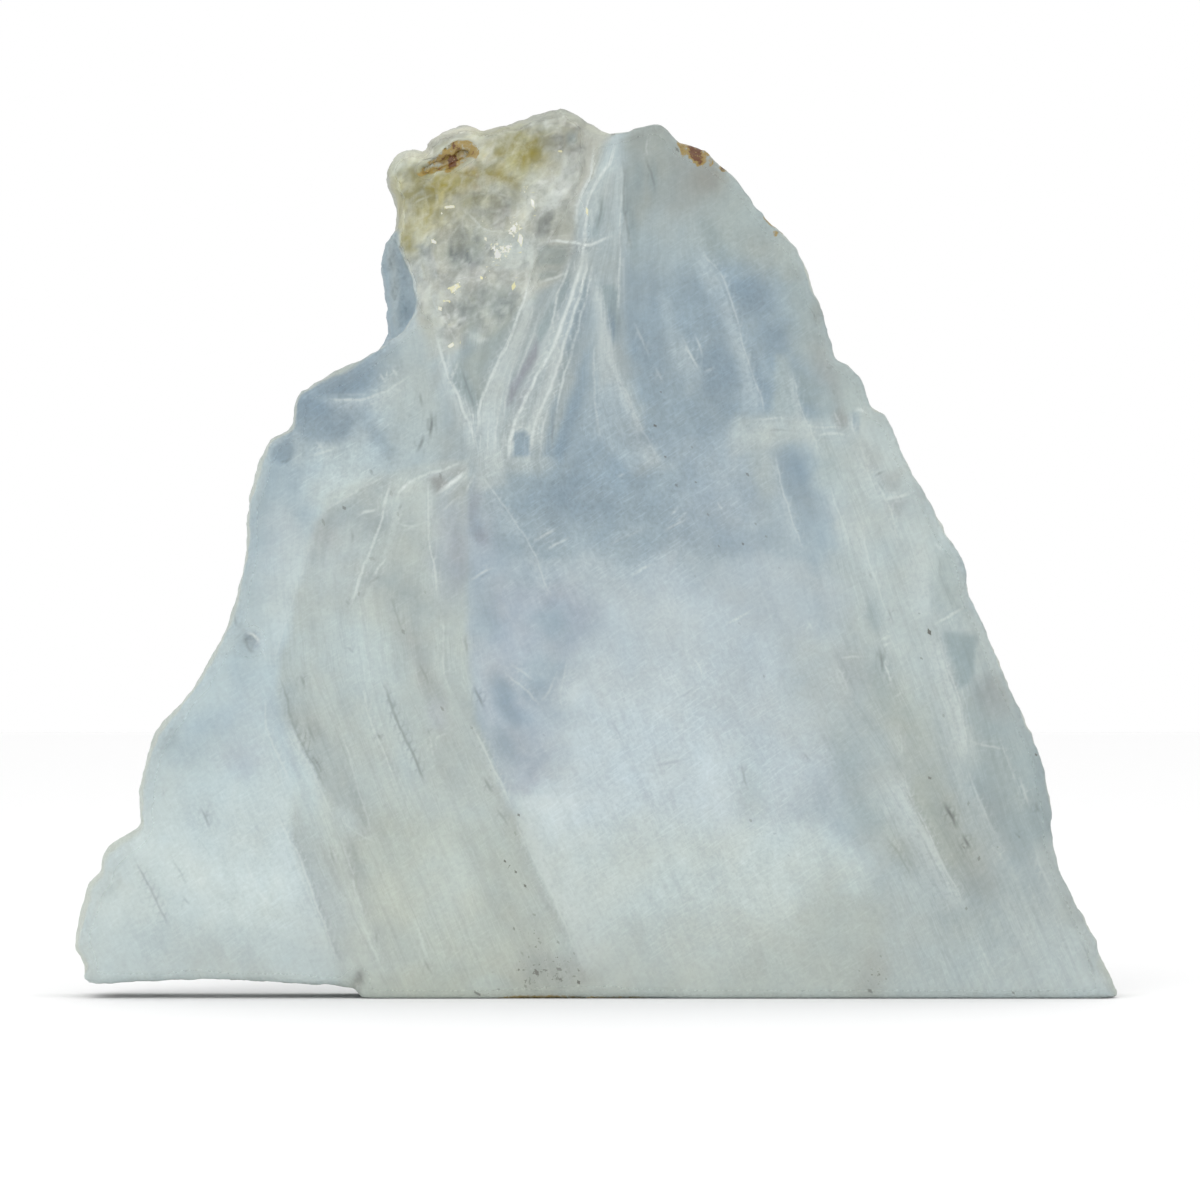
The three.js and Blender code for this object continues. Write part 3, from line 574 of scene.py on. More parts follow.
    ("crest pale", 0.7, 1.0, [(-52, 249), (-46.4, 247.8), (-43, 247.4), (-38.4, 250.6), (-35.4, 248.6),
        (-41, 245.4), (-48, 245)]),
    ("rim green", 0.4, (-54, 238, 3.4, 2.4, 30, 0.8)),
    ("rim green", 0.3, (-47.6, 235, 3.6, 1.6, 30, 0.8)),
    ("crest clear", 0.55, 2.2, [(-41, 239.5), (-36, 242.4), (-30, 242), (-26, 239), (-24.4, 235),
        (-28, 232.6), (-34, 234.4), (-38, 233.4)]),
    ("crest clear", 0.5, (-34, 239, 4, 2, 0, 0.7)),
    ("crest green", 0.75, 2.4, [(-46, 221), (-44, 228), (-41, 231.4), (-36, 231), (-33, 227), (-33.4, 220),
        (-38, 217.5), (-44, 218)]),
    ("crest clear", 0.4, (-40.6, 225.6, 1.6, 4.6, -14, 0.7)),
    ("crest clear", 0.75, 1.0, [(-18.4, 230), (-17, 234), (-13.6, 236.6), (-8.4, 238.4), (-6.9, 233),
        (-7, 229.6), (-12, 227.9), (-16, 228)]),
    ("crest clear", 0.45, 1.8, [(-8.6, 239), (-3.4, 246), (-3, 251), (-5, 250), (-7.4, 243)]),
    ("crest green", 0.9, 1.0, [(-17.6, 225.4), (-8, 226), (-8.4, 222), (-9.6, 219.4), (-17, 219.4)]),
    ("crest green", 0.7, 0.9, [(-17.6, 218), (-10, 218.6), (-11.6, 216.2), (-17, 215)]),
    ("crest green", 0.8, 3, [(-44, 209), (-36, 212.5), (-29, 214), (-22, 211), (-24, 203), (-30, 190),
        (-35, 177), (-40, 190)]),
    ("crest clear", 0.5, (-26, 210, 4.6, 3, 14, 0.8)),
    ("crest clear", 0.4, (-36.5, 208.4, 3, 2.4, 10, 0.8)),
    ("crest grey", 0.45, (-33, 203, 2.4, 7, -10, 0.9)),
    ("crest grey", 0.45, (-41, 213, 4, 5, 0, 0.8)),
    ("deep blue", 0.35, (-38, 196, 2.5, 6, -14, 0.7)),
    ("edge green", 0.9, 0.9, [(-41, 191.5), (-38.4, 187.6), (-36, 181.4), (-34.8, 175), (-38, 178.6),
        (-43.6, 184.6)]),
    ("panel dark", 0.5, (-47, 188, 1.4, 6, -14, 0.7)),
    ("panel dark", 0.55, (-52, 219, 3, 5, 10, 0.8)),
    ("crest green", 0.4, (-50, 226, 3, 3, 10, 0.8)),
    ("left flank", 0.4, (-48, 196, 5, 5, 10, 0.8)),
    ("dome", 0.5, (-50, 204, 1.8, 6, 6, 0.7)),
    ("left blue", 1, 0.8, [(-70, 232), (-60, 229.8), (-58, 222), (-55.3, 216), (-53.4, 210), (-53.4, 206),
        (-58.7, 199), (-70, 194)]),
    ("deep blue", 0.45, (-57, 206, 2.6, 5, 10, 0.7)),
    ("deep blue", 0.3, (-59.5, 222, 2, 4, 0, 0.8)),
    ("frost green", 0.6, (-62.6, 214, 1.3, 14, 3, 0.8)),
    ("blue", 0.8, 1.0, [(-19, 134.8), (-9.5, 137.2), (-10, 132.4), (-15.5, 130.8)]),
    ("deep blue", 0.7, (15.5, 167.4, 2.2, 3.2, 35, 0.6)),
    # broad corrections of depth and light
    ("pale blue", 0.85, 1.8, [(2, 184), (5, 186), (9, 178), (13, 170), (17, 162), (12, 158), (4, 164),
        (1, 174)]),
    ("crest yellow", 0.3, (-36, 236, 12, 9, 0, 0.9)),
    ("crest yellow", 0.5, (-53, 240, 5, 10, 10, 0.9)),
    ("crest yellow", 0.35, (-38, 250, 18, 8, 6, 0.9)),
    ("pale lilac", 0.35, (18, 104, 20, 12, 0, 0.9)),
    ("deep blue", 0.35, 1.5, [(-8, 214), (-1, 214), (1, 196), (-6, 186), (-10, 196)]),
    ("left flank", 0.35, (-52, 166, 8, 8, 0, 0.9)),
    ("lobe grey", 0.4, (-70, 152, 14, 7, 20, 0.9)),
    ("pale lilac", 0.45, (-78, 132, 8, 12, -10, 0.9)),
    ("lobe grey", 0.3, (-94, 136, 8, 14, -8, 0.9)),
    ("pale blue", 0.5, (-14, 139, 12, 6, -14, 0.9)),
    ("pale blue", 0.3, (10, 148, 14, 10, 0, 0.9)),
    ("pale lilac", 0.3, (44, 148, 14, 9, 0, 0.9)),
    ("pale lilac", 0.45, (36, 162, 16, 7, 0, 0.9)),
    ("frost green", 0.45, (90, 166, 8, 10, 20, 0.9)),
    ("frost green", 0.5, (98, 132, 7, 16, 10, 0.9)),
    ("frost green", 0.4, (70, 190, 6, 9, 12, 0.9)),
    ("pale lilac", 0.5, (-80, 30, 8, 18, 16, 0.9)),
    ("foot", 0.5, (-112, 16, 30, 12, 0, 0.9)),
    ("milk low", 0.3, (9, 49, 9, 9, 0, 0.9)),
    ("pale lilac", 0.3, (60, 80, 8, 14, 10, 0.9)),
    ("foot", 0.5, (86, 62, 6, 7, 10, 0.9)),
    ("foot", 0.5, (125, 86, 5, 9, 20, 0.9)),
    ("sage", 0.4, (126, 60, 6, 14, 10, 0.9)),
    ("pale lilac", 0.4, (-104, 86, 9, 7, 20, 0.9)),
    ("panel dark", 0.3, (-40, 74, 6, 8, 20, 0.9)),
    ("pale lilac", 0.4, (-18, 76, 10, 8, 0, 0.9)),
    # ground-in dirt and brown lip along the foot
    ("brown grey", 0.8, (-70.8, 5.6, 1.7, 3.6, -15, 0.5)),
    ("left flank", 0.5, (-32, 4, 6, 2.4, 0, 0.7)),
    ("brown grey", 0.4, (-14, 7, 12, 6, 0, 0.8)),
    ("brown grey", 0.35, (82, 8, 5, 7, 0, 0.8)),
    ("band olive", 0.5, (-40, 3, 28, 5, 0, 0.8)),
]

# Where the crystal is lighter (above 0) or darker (below 0) besides: amount and oval.
SHADES = [
    (-0.07, (118, 30, 26, 40, 0, 0.9)), (-0.04, (100, 60, 14, 50, 20, 0.9)),
    (-0.05, (-6, 238, 10, 14, 0, 0.9)), (0.06, (-102, 92, 10, 12, 0, 0.9)),
    (0.05, (-4, 138, 12, 10, 0, 0.9)), (0.05, (16, 116, 14, 14, 0, 0.9)), (0.05, (10, 152, 14, 9, 0, 0.9)),
    (-0.06, (-108, 12, 40, 10, 0, 0.9)), (-0.05, (-2, 205, 16, 60, 0, 0.9)),
    (-0.08, (6, 204, 3.5, 20, 4, 0.8)), (-0.1, (-13, 226, 7, 10, 0, 0.8)), (0.1, (-54, 212, 4, 8, 8, 0.8)),
    (0.07, (20, 210, 7, 14, 10, 0.8)), (-0.07, (40, 202, 4, 8, 15, 0.8)), (0.06, (56, 220, 6, 8, -20, 0.8)),
    (0.13, (78, 176, 4, 7, 20, 0.8)), (0.11, (68, 158, 5, 10, 15, 0.8)), (0.08, (-20, 152, 9, 8, 0, 0.8)),
    (0.12, (104, 136, 5, 12, 10, 0.8)), (-0.08, (12, 108, 12, 10, 0, 0.9)),
    (-0.09, (42, 104, 8, 9, 0, 0.9)), (-0.06, (54, 82, 11, 18, 10, 0.9)), (0.1, (-78, 130, 7, 7, 0, 0.8)),
    (0.08, (-79, 70, 4.5, 12, 20, 0.8)), (0.09, (-43, 40, 8, 15, 18, 0.9)),
    (0.04, (-60, 30, 14, 16, 15, 0.9)), (0.06, (114, 38, 5, 9, 20, 0.8)), (0.07, (88, 54, 6, 9, 14, 0.8)),
    (0.08, (-124, 82, 7, 6, 20, 0.8)), (-0.09, (-111, 50, 13, 10, 0, 0.9)),
    (-0.05, (-99, 52, 6, 10, 10, 0.9)), (0.06, (90, 164, 5, 10, 20, 0.8)), (0.06, (94, 98, 5, 18, 16, 0.8)),
    (0.05, (-30, 208, 4, 5, -10, 0.8)), (-0.09, (-38, 222, 12, 10, 0, 0.9)),
    (-0.08, (-42, 203, 5, 8, 0, 0.9)), (-0.12, (-103.5, 106, 2.6, 4, 10, 0.7)),
]


def paint_zones(f):
    """The crystal's soft colours, painted one over another, then clouded."""
    colour = np.tile(np.array(LOOK["pale blue"]), (len(f.x), 1))
    for zone in ZONES:
        look, strength, *mark = zone
        m = np.clip(f.shape(mark) * strength, 0, 1)[:, None]
        colour = colour * (1 - m) + np.array(LOOK[look]) * m
    for amount, oval in SHADES:
        colour = colour * (1 + amount * f.patch(*oval))[:, None]
    # painted light: the foot painted paler against the floor's shade, fading with height
    colour = colour * (1 + FOOT_PAINTED_LIGHT * np.exp(-f.z / FOOT_REACH))[:, None]
    uneven = cloudiness(f)
    shade = CLOUD_SHADE * uneven * (0.8 * f.clouds(6, 31, 3) + 0.4 * f.clouds(20, 47, 2))
    across, along = f.grain()
    broad, narrow = clouds(across / 4.5, along / 34, 1, 61, 2), clouds(across / 2.2, along / 17, 1, 67, 2)
    shade = shade + STREAK_SHADE * grain_strength(f) * (0.7 * broad + 0.6 * narrow)
    hue = CLOUD_HUE * (0.4 + 0.6 * uneven) * f.clouds(9, 59, 3)
    return colour * (1 + shade)[:, None] * (1 + hue[:, None] * np.array([1, 0.1, -1]))


# How uneven the crystal's colour is: (amount, mark).
UNEVEN = [
    (1.0, 4, [(-66, 262), (-4, 272), (4, 250), (-8, 226), (-20, 206), (-40, 192), (-56, 200), (-60, 226)]),
    (0.7, 8, [(10, 226), (56, 222), (74, 176), (68, 140), (-30, 136), (-30, 158), (8, 172)]),
    (0.7, 6, [(-100, 172), (-62, 198), (-54, 160), (-84, 150)]),
    (0.7, 5, [(-38, 130), (-6, 126), (-6, 64), (-24, 60)]),
    (0.6, 6, [(-88, 156), (-40, 160), (-40, 110), (-88, 112)]),
]


def cloudiness(f):
    """How uneven the crystal is: cloudy at the crest and in the blue depths, even in the milk."""
    return f.layered(0.3, UNEVEN)


# ---------- healed cracks and cleavage edges ----------
# Each is (side, sheet, fade, line, points): a line where a healed crack meets the face, drawn from the
# top down or from left to right. The pale haze of strength sheet (negative for a dark one) lies on its
# right-hand or upper side (+1), or the other (-1), and fades over fade mm; line is the strength of the
# bright or dark hairline along it.
FAN = [
    (-1, 0.30, 3, -0.45, [(7.9, 253), (8.7, 245.5), (8.4, 237.2), (9.3, 233), (10.5, 227), (11.4, 221.5)]),
    (-1, 0.3, 1.5, 0.9, [(7, 257), (4.4, 250.4), (0.6, 244.4), (-1.6, 240), (-2.8, 234), (-3.2, 227),
        (-4, 219)]),
    (-1, 0.25, 2, 0.75, [(-1.4, 254), (-1.2, 248), (-3.4, 242), (-5.4, 236), (-6.3, 230)]),
    (1, 0.2, 1.2, 0.45, [(5.4, 250), (2.8, 243.6), (1.0, 238.4), (-0.8, 232), (-1.4, 227)]),
    (1, 0, 1, -0.5, [(2.8, 241), (1.9, 236), (1.0, 231.5), (0.7, 228.5)]),
    (1, 0, 1, 0.5, [(8.1, 246), (7.6, 232), (7.5, 222), (7.2, 212), (6.8, 203)]),
    (1, 0.15, 1.5, 0.85, [(-18.4, 226.3), (-13, 226.9), (-7, 226.5), (-3, 225.4), (1.6, 226.4),
        (7, 228.8)]),
    (1, 0.25, 1.2, 1.0, [(-3.4, 223), (-5.2, 216), (-7.4, 209), (-9.7, 203), (-11.8, 196.4), (-15.4, 189.6),
        (-19.8, 181.4), (-23.2, 174), (-25.4, 167), (-26.4, 159)]),
    (-1, 0.2, 1.2, 0.75, [(-2, 222), (-3.8, 213), (-6.4, 205), (-8.8, 197), (-10.8, 190), (-12.8, 183.6),
        (-15.6, 178), (-17.8, 171.6), (-19, 165), (-20, 160)]),
    (1, 0.15, 1.2, 0.55, [(-0.5, 221), (-2.0, 212), (-4.2, 204), (-6.4, 196), (-9.2, 186), (-11.2, 177),
        (-12.8, 168)]),
    (-1, 0.2, 1.5, 0.6, [(-6.6, 224), (-8.6, 217), (-11.4, 210), (-12.4, 204), (-14.6, 197)]),
    (1, 0.35, 3, 0.85, [(-19.6, 219), (-20.6, 211.5), (-22.5, 205.2), (-25, 198), (-28.6, 190.8),
        (-31, 185.6), (-33.6, 180), (-34.8, 174), (-35, 168)]),
    (-1, 0.2, 1.4, 0.4, [(-18.4, 212), (-19.4, 203), (-22.4, 194), (-25.4, 186), (-27, 178), (-28, 170)]),
    (1, 0, 1, 0.35, [(-16.4, 206), (-18.6, 198), (-21.8, 190), (-24.6, 183)]),
    (1, 0.2, 1.2, 0.35, [(-21.7, 233), (-21, 224), (-20.6, 213)]),
    (1, 0, 1, 0.5, [(-18.2, 218.9), (-13, 219.4), (-9, 219.2)]),
    (1, 0, 1, 0.6, [(-18.4, 213.6), (-13.6, 215.1), (-9.6, 216.4), (-7, 218.4)]),
    (-1, 0.4, 4, 0.3, [(0.3, 217), (2.6, 209), (4.2, 200.6), (5.2, 193), (7, 186), (10.4, 179), (13.4, 172),
        (17, 165), (21, 158)]),
    (1, 0, 1, 0.35, [(-0.2, 198), (-0.4, 186), (0.3, 176), (1.8, 166)]),
    (1, 0, 1, 0.45, [(-13.5, 178), (-15.8, 169), (-16.6, 160)]),
    (1, 0, 1, 0.35, [(-12.0, 177), (-14, 167), (-14.2, 159)]),
    (1, 0, 1, -0.4, [(-10.6, 181), (-12.4, 171), (-12.8, 163)]),
    (1, 0, 1, 0.55, [(-24.4, 170.2), (-22, 170.9), (-18.8, 169.4)]),
    (1, 0.2, 2, 0.35, [(15.8, 260), (15.6, 255), (15.9, 250)]),
    (1, 0, 1, -0.5, [(15.2, 253), (15.7, 249.5), (17.3, 245.5), (18.4, 240)]),
    (-1, 0.15, 2, 0.4, [(-26.9, 184), (-28.8, 176), (-29.8, 168), (-30, 160)]),
    (1, 0, 1, 0.35, [(-26.8, 172), (-27.6, 165), (-27.8, 157)]),
    (1, 0, 1, 0.3, [(-31.6, 178), (-32, 168), (-32.2, 158)]),
    (-1, 0.25, 2, 0.35, [(-45.4, 199), (-41.5, 195.4), (-40.3, 194)]),
    (-1, 0.25, 2.4, 0.75, [(-47.8, 200), (-45.7, 192), (-44, 186.5), (-41.3, 181), (-39.3, 175.5),
        (-37, 170), (-35.2, 163)]),
    (1, -0.15, 2, -0.4, [(-41, 191.5), (-39, 186), (-37.2, 180.5), (-35.4, 174.6)]),
    (1, 0, 1, 0.6, [(-43.6, 183.6), (-42.2, 187), (-40.4, 191.6)]),
    (1, 0, 1, 0.45, [(-50.6, 213), (-46.7, 205.5), (-43.4, 200), (-40, 194)]),
    (1, 0, 1, 0.35, [(-46.2, 209), (-43.7, 203.6), (-40.4, 198)]),
]
CREST_LINES = [
    (-1, 0.25, 4, 0.4, [(-40.5, 239), (-38, 235.5), (-35, 231.8), (-31, 229.8), (-26, 231.5)]),
    (1, 0.2, 3, 0.3, [(-40, 239.5), (-34, 241.3), (-28, 240.5), (-24, 238)]),
    (1, 0.45, 5, 0.45, [(-18.6, 229.5), (-17.4, 233.4), (-14.5, 236), (-10, 237.6), (-6.8, 236.6)]),
    (1, 0, 1, 0.3, [(-18.4, 228), (-13, 227.4), (-8, 228)]),
    (1, 0.3, 4, 0.2, [(-19, 240), (-12, 245), (-6, 249), (-1, 252)]),
    (1, 0, 1, 0.3, [(-46.5, 223), (-44.5, 228), (-41, 232), (-37, 233)]),
    (1, 0, 1, 0.3, [(-47, 216.5), (-40, 216), (-33, 217), (-29.5, 219.5)]),
    (1, 0, 1, -0.35, [(-53, 249), (-51.5, 246.5), (-49.5, 245.5)]),
    (1, 0, 1, 0.45, [(-59.8, 229.6), (-57.8, 222), (-55.2, 216), (-53.4, 210), (-53.6, 206), (-58.7, 199),
        (-62.8, 196.3)]),
    (1, 0, 1, -0.3, [(-60, 240), (-59.3, 236.5), (-59.4, 232)]),
    (1, 0, 1, 0.35, [(-14.5, 261.8), (-11.5, 261.5), (-9.8, 260.4)]),
    (1, 0, 1, -0.3, [(-19.5, 261.5), (-14, 262.8), (-8, 262.2), (-5, 259)]),
    (1, 0, 1, -0.3, [(-8.5, 259), (-7.2, 256.2), (-5.9, 259)]),
    (1, 0, 1, -0.35, [(-4, 252.4), (-3, 250), (-3.2, 248)]),
    (1, 0, 1, 0.3, [(-0.4, 259), (-0.6, 252), (-1.6, 246), (-4.6, 240)]),
    (1, 0, 1, 0.25, [(-52, 225), (-46, 214), (-40, 203)]),
    (1, 0, 1, 0.3, [(-57, 237), (-52, 240), (-48, 241)]),
]
LEFT_VEINS = [
    (1, 0, 1, -0.75, [(-49.2, 176.5), (-48.9, 171), (-49.3, 166.3)]),
    (1, 0, 1, -0.45, [(-52.5, 182), (-51.8, 179), (-51.5, 176.6)]),
    (1, 0, 1, -0.6, [(-51.1, 169.5), (-51.9, 166), (-53.5, 162.6)]),
    (1, 0, 1, -0.5, [(-38.7, 173.2), (-38.1, 171.6)]),
    (-1, 0.15, 3, 0.95, [(-48.8, 149.9), (-43, 154), (-39, 157.3), (-35.8, 159.2)]),
    (-1, 0.2, 4, 0.4, [(-50, 156.5), (-49.9, 150), (-49.8, 143), (-49.4, 135), (-47.8, 128), (-46.8, 118)]),
    (1, 0.3, 2.5, 0.5, [(-37.5, 161.5), (-44, 158.8), (-52.5, 156), (-57.5, 152.5), (-60.3, 147)]),
    (1, 0.3, 2.2, 0.5, [(-60.3, 147), (-61.4, 140), (-63.3, 133), (-66.8, 125), (-69.8, 118),
        (-71.3, 112)]),
    (-1, 0.2, 2.2, 0.55, [(-60.5, 156.5), (-62.4, 150), (-64.2, 142), (-66.9, 135), (-69.4, 128),
        (-71.9, 121.5), (-73.7, 116)]),
    (1, 0, 1, -0.4, [(-62.9, 147), (-64.2, 140.5), (-66.6, 132.5), (-67.6, 129.5)]),
    (1, 0, 1, 0.65, [(-66.7, 125.3), (-64, 130), (-61.8, 132.7)]),
    (1, 0, 1, -0.4, [(-67.3, 124.3), (-65.6, 125.4), (-64.2, 126.6)]),
    (1, 0, 1, 0.6, [(-59.8, 150.6), (-57, 153.1), (-54.3, 155.9)]),
    (1, 0, 1, 0.5, [(-72, 143.8), (-69.5, 145.6), (-66, 146.2), (-63.8, 147.2)]),
    (-1, -0.30, 5, 0.2, [(-84, 143.4), (-78, 147.6), (-71, 152), (-65.5, 155), (-61.4, 157.4)]),
    (1, 0, 1, -0.35, [(-72.6, 140.6), (-72.2, 138), (-73, 136)]),
    (1, 0, 1, -0.35, [(-38.5, 167.5), (-37.2, 163.4), (-35.9, 160.6)]),
    (-1, 0.25, 5, 0.3, [(-35, 158.5), (-30, 151), (-24, 142.5), (-19.8, 136), (-17, 130), (-15, 124),
        (-12, 119)]),
    (1, 0, 1, 0.35, [(-38.7, 150), (-37.6, 154), (-35.6, 157.6)]),
    (-1, 0.35, 5, 0.5, [(-82, 179.6), (-75, 179.2), (-69, 179.2), (-64, 181), (-58.5, 184.2), (-55, 187)]),
    (1, 0, 1, 0.3, [(-72, 175.5), (-66, 178), (-60, 181.3), (-57, 182.6)]),
    (1, 0, 1, 0.6, [(-60.8, 189.2), (-59.9, 187.6), (-58.7, 186.1)]),
    (1, 0, 1, 0.45, [(-64.4, 187.3), (-63.4, 185.4), (-62.4, 184.2)]),
    (1, 0, 1, 0.3, [(-84, 167.5), (-80.3, 162.6)]),
    (1, 0, 1, 0.35, [(-86.5, 161.8), (-81, 163.6), (-76, 165.5)]),
    (1, 0, 1, -0.45, [(-67.1, 158.6), (-66.2, 156.6)]),
    (-1, 0, 1, 0.9, [(-105, 109.6), (-102.5, 109.1), (-101, 107.8), (-100, 105.6)]),
    (1, 0, 1, -0.45, [(-104.8, 108.2), (-104.3, 105.6), (-102.6, 103.8), (-100.6, 104.2)]),
    (1, 0, 1, -0.4, [(-108.6, 116), (-107.6, 112.6), (-106, 110.6)]),
    (1, 0, 1, 0.3, [(-99.9, 105.4), (-98.8, 102.6), (-98.2, 100.4)]),
    (1, 0, 1, -0.35, [(-90.4, 163), (-92.4, 160.6), (-94.8, 160)]),
    (-1, 0.2, 3, 0.3, [(-56.8, 148.4), (-58.3, 145), (-59.6, 140)]),
    (1, 0, 1, -0.4, [(-57.7, 148.6), (-58.9, 145.4)]),
    (1, 0, 1, 0.3, [(-46.5, 145), (-42, 149), (-39.4, 151)]),
    (1, 0, 1, 0.3, [(-60, 142.2), (-55, 141.4), (-50.6, 143)]),
]
PANEL_LINES = [
    (-1, 0.25, 6, 0.2, [(-84, 139), (-87.5, 128), (-90, 120), (-92.7, 112), (-95.3, 103), (-95.5, 98)]),
    (1, -0.35, 4.5, -0.3, [(-94.6, 98), (-92.5, 91), (-90.5, 83), (-87.5, 76), (-84, 70), (-81.3, 64.5),
        (-79, 61)]),
    (-1, 0.35, 4, 0.3, [(-91.8, 84), (-88.8, 76), (-85.2, 69.5), (-82.4, 63.5), (-80, 58), (-77, 52)]),
    (1, 0, 1, -0.45, [(-88.6, 97.6), (-87.4, 95), (-86.8, 92)]),
    (1, -0.25, 4, -0.3, [(-86.2, 84), (-84.6, 79), (-83.2, 75.5)]),
    (1, 0, 1, -0.35, [(-85, 74), (-83, 70.4), (-81.4, 67)]),
    (1, 0.3, 3, 0.25, [(-78.4, 59), (-75.6, 54), (-72.4, 50.5), (-68.2, 48), (-62, 45.2)]),
    (-1, -0.25, 3.5, 0.2, [(-76.8, 84), (-73.4, 72), (-69.8, 60), (-67, 50), (-66, 47)]),
    (1, -0.35, 7, 0.35, [(-95.8, 57), (-91.8, 48.6), (-88.6, 43), (-86.2, 36.5), (-83.8, 29.5),
        (-81.2, 22.5), (-78.2, 14.5), (-75, 8)]),
    (-1, 0.3, 8, 0, [(-93, 51), (-88.9, 43), (-86.5, 36.5), (-84.1, 29.5), (-81.5, 22.5), (-78.5, 14.5),
        (-75.4, 8)]),
    (1, -0.15, 3, 0.3, [(-98.7, 92), (-98.3, 82), (-96, 75), (-93.6, 70), (-90.5, 63)]),
    (1, 0.2, 2.5, -0.3, [(-79.6, 47), (-78.6, 43), (-77.4, 39)]),
    (1, -0.25, 3, 0.3, [(-76.6, 49.5), (-74.6, 44), (-72.8, 37), (-70.6, 29), (-68, 21)]),
    (1, -0.30, 2.8, -0.45, [(-63.8, 95.5), (-61.6, 90), (-59, 83), (-55.2, 75), (-52.4, 68),
        (-50.5, 62.5)]),
    (1, -0.18, 3.5, 0.3, [(-69.8, 96), (-68, 86), (-66, 80), (-63, 73), (-60.4, 67), (-58.6, 63)]),
    (1, 0, 1, -0.5, [(-65.4, 79.8), (-64.2, 77.2)]),
    (1, 0, 1, -0.3, [(-52.8, 101.4), (-51, 97), (-49, 92)]),
    (1, 0, 1, 0.35, [(-49.9, 80.3), (-49, 76), (-47.5, 70)]),
    (1, 0, 1, -0.35, [(-50, 80.6), (-49.6, 78.8)]),
    (1, 0, 1, 0.3, [(-48, 77.8), (-44, 79.4)]),
    (1, 0.15, 4, -0.4, [(-38.4, 110), (-38.6, 106), (-38.1, 102)]),
    (1, 0, 1, -0.55, [(-36.4, 95.5), (-35.6, 92.6), (-34, 88.6), (-32.8, 85.2)]),
    (-1, 0.35, 2.2, 0.4, [(-37.6, 84), (-35.4, 79.6), (-32.2, 72.6), (-29.2, 66.6), (-26.6, 61),
        (-24.8, 56)]),
    (1, -0.25, 2.5, 0, [(-30.5, 71), (-28, 65.6), (-25.4, 60), (-23.9, 56)]),
    (1, 0, 1, -0.45, [(-33.6, 67.2), (-31.6, 63.2), (-30, 60.4)]),
    (1, 0, 1, -0.3, [(-30, 58.5), (-28.4, 55.4), (-26.6, 52.6), (-25, 50.6)]),
    (1, 0.40, 9, 0.3, [(-24.6, 56), (-22.2, 49.5), (-19, 43), (-15.6, 36.4), (-12.2, 29.6), (-9.2, 23),
        (-6.6, 16.5), (-4, 10.4), (-0.5, 5)]),
    (-1, -0.15, 6, 0, [(-23.8, 51), (-19.4, 42.6), (-16, 36), (-12.6, 29.2), (-9.6, 22.6), (-7, 16)]),
    (1, 0, 1, -0.3, [(-51.6, 13.2), (-50, 9.5), (-48.4, 6.8)]),
    (1, 0, 1, -0.25, [(-66.2, 20.4), (-64.8, 16.4)]),
    (-1, 0.2, 2, 0.35, [(-70.4, 25), (-67.6, 18), (-65, 12), (-62, 6)]),
    (1, 0, 1, -0.4, [(-71.6, 8.6), (-70.2, 7), (-70.2, 4.8)]),
    (1, 0, 1, 0.4, [(-70, 4.4), (-71.6, 3.4), (-71, 1.6)]),
    (1, 0, 1, 0.25, [(-46.4, 117), (-45.2, 108), (-45.4, 100), (-43, 90)]),
    (1, 0, 1, -0.35, [(-45.2, 110.6), (-44.9, 108.4)]),
    (1, 0, 1, -0.3, [(-74.8, 119.6), (-73.4, 117.4)]),
    (1, 0, 1, -0.25, [(-75.6, 105), (-73.2, 104.4), (-71.6, 102.4)]),
    (1, 0, 1, -0.25, [(-62, 122), (-59.2, 114), (-57.2, 108)]),
    (1, 0, 1, 0.3, [(-55, 26), (-51.4, 16), (-49, 10)]),
]
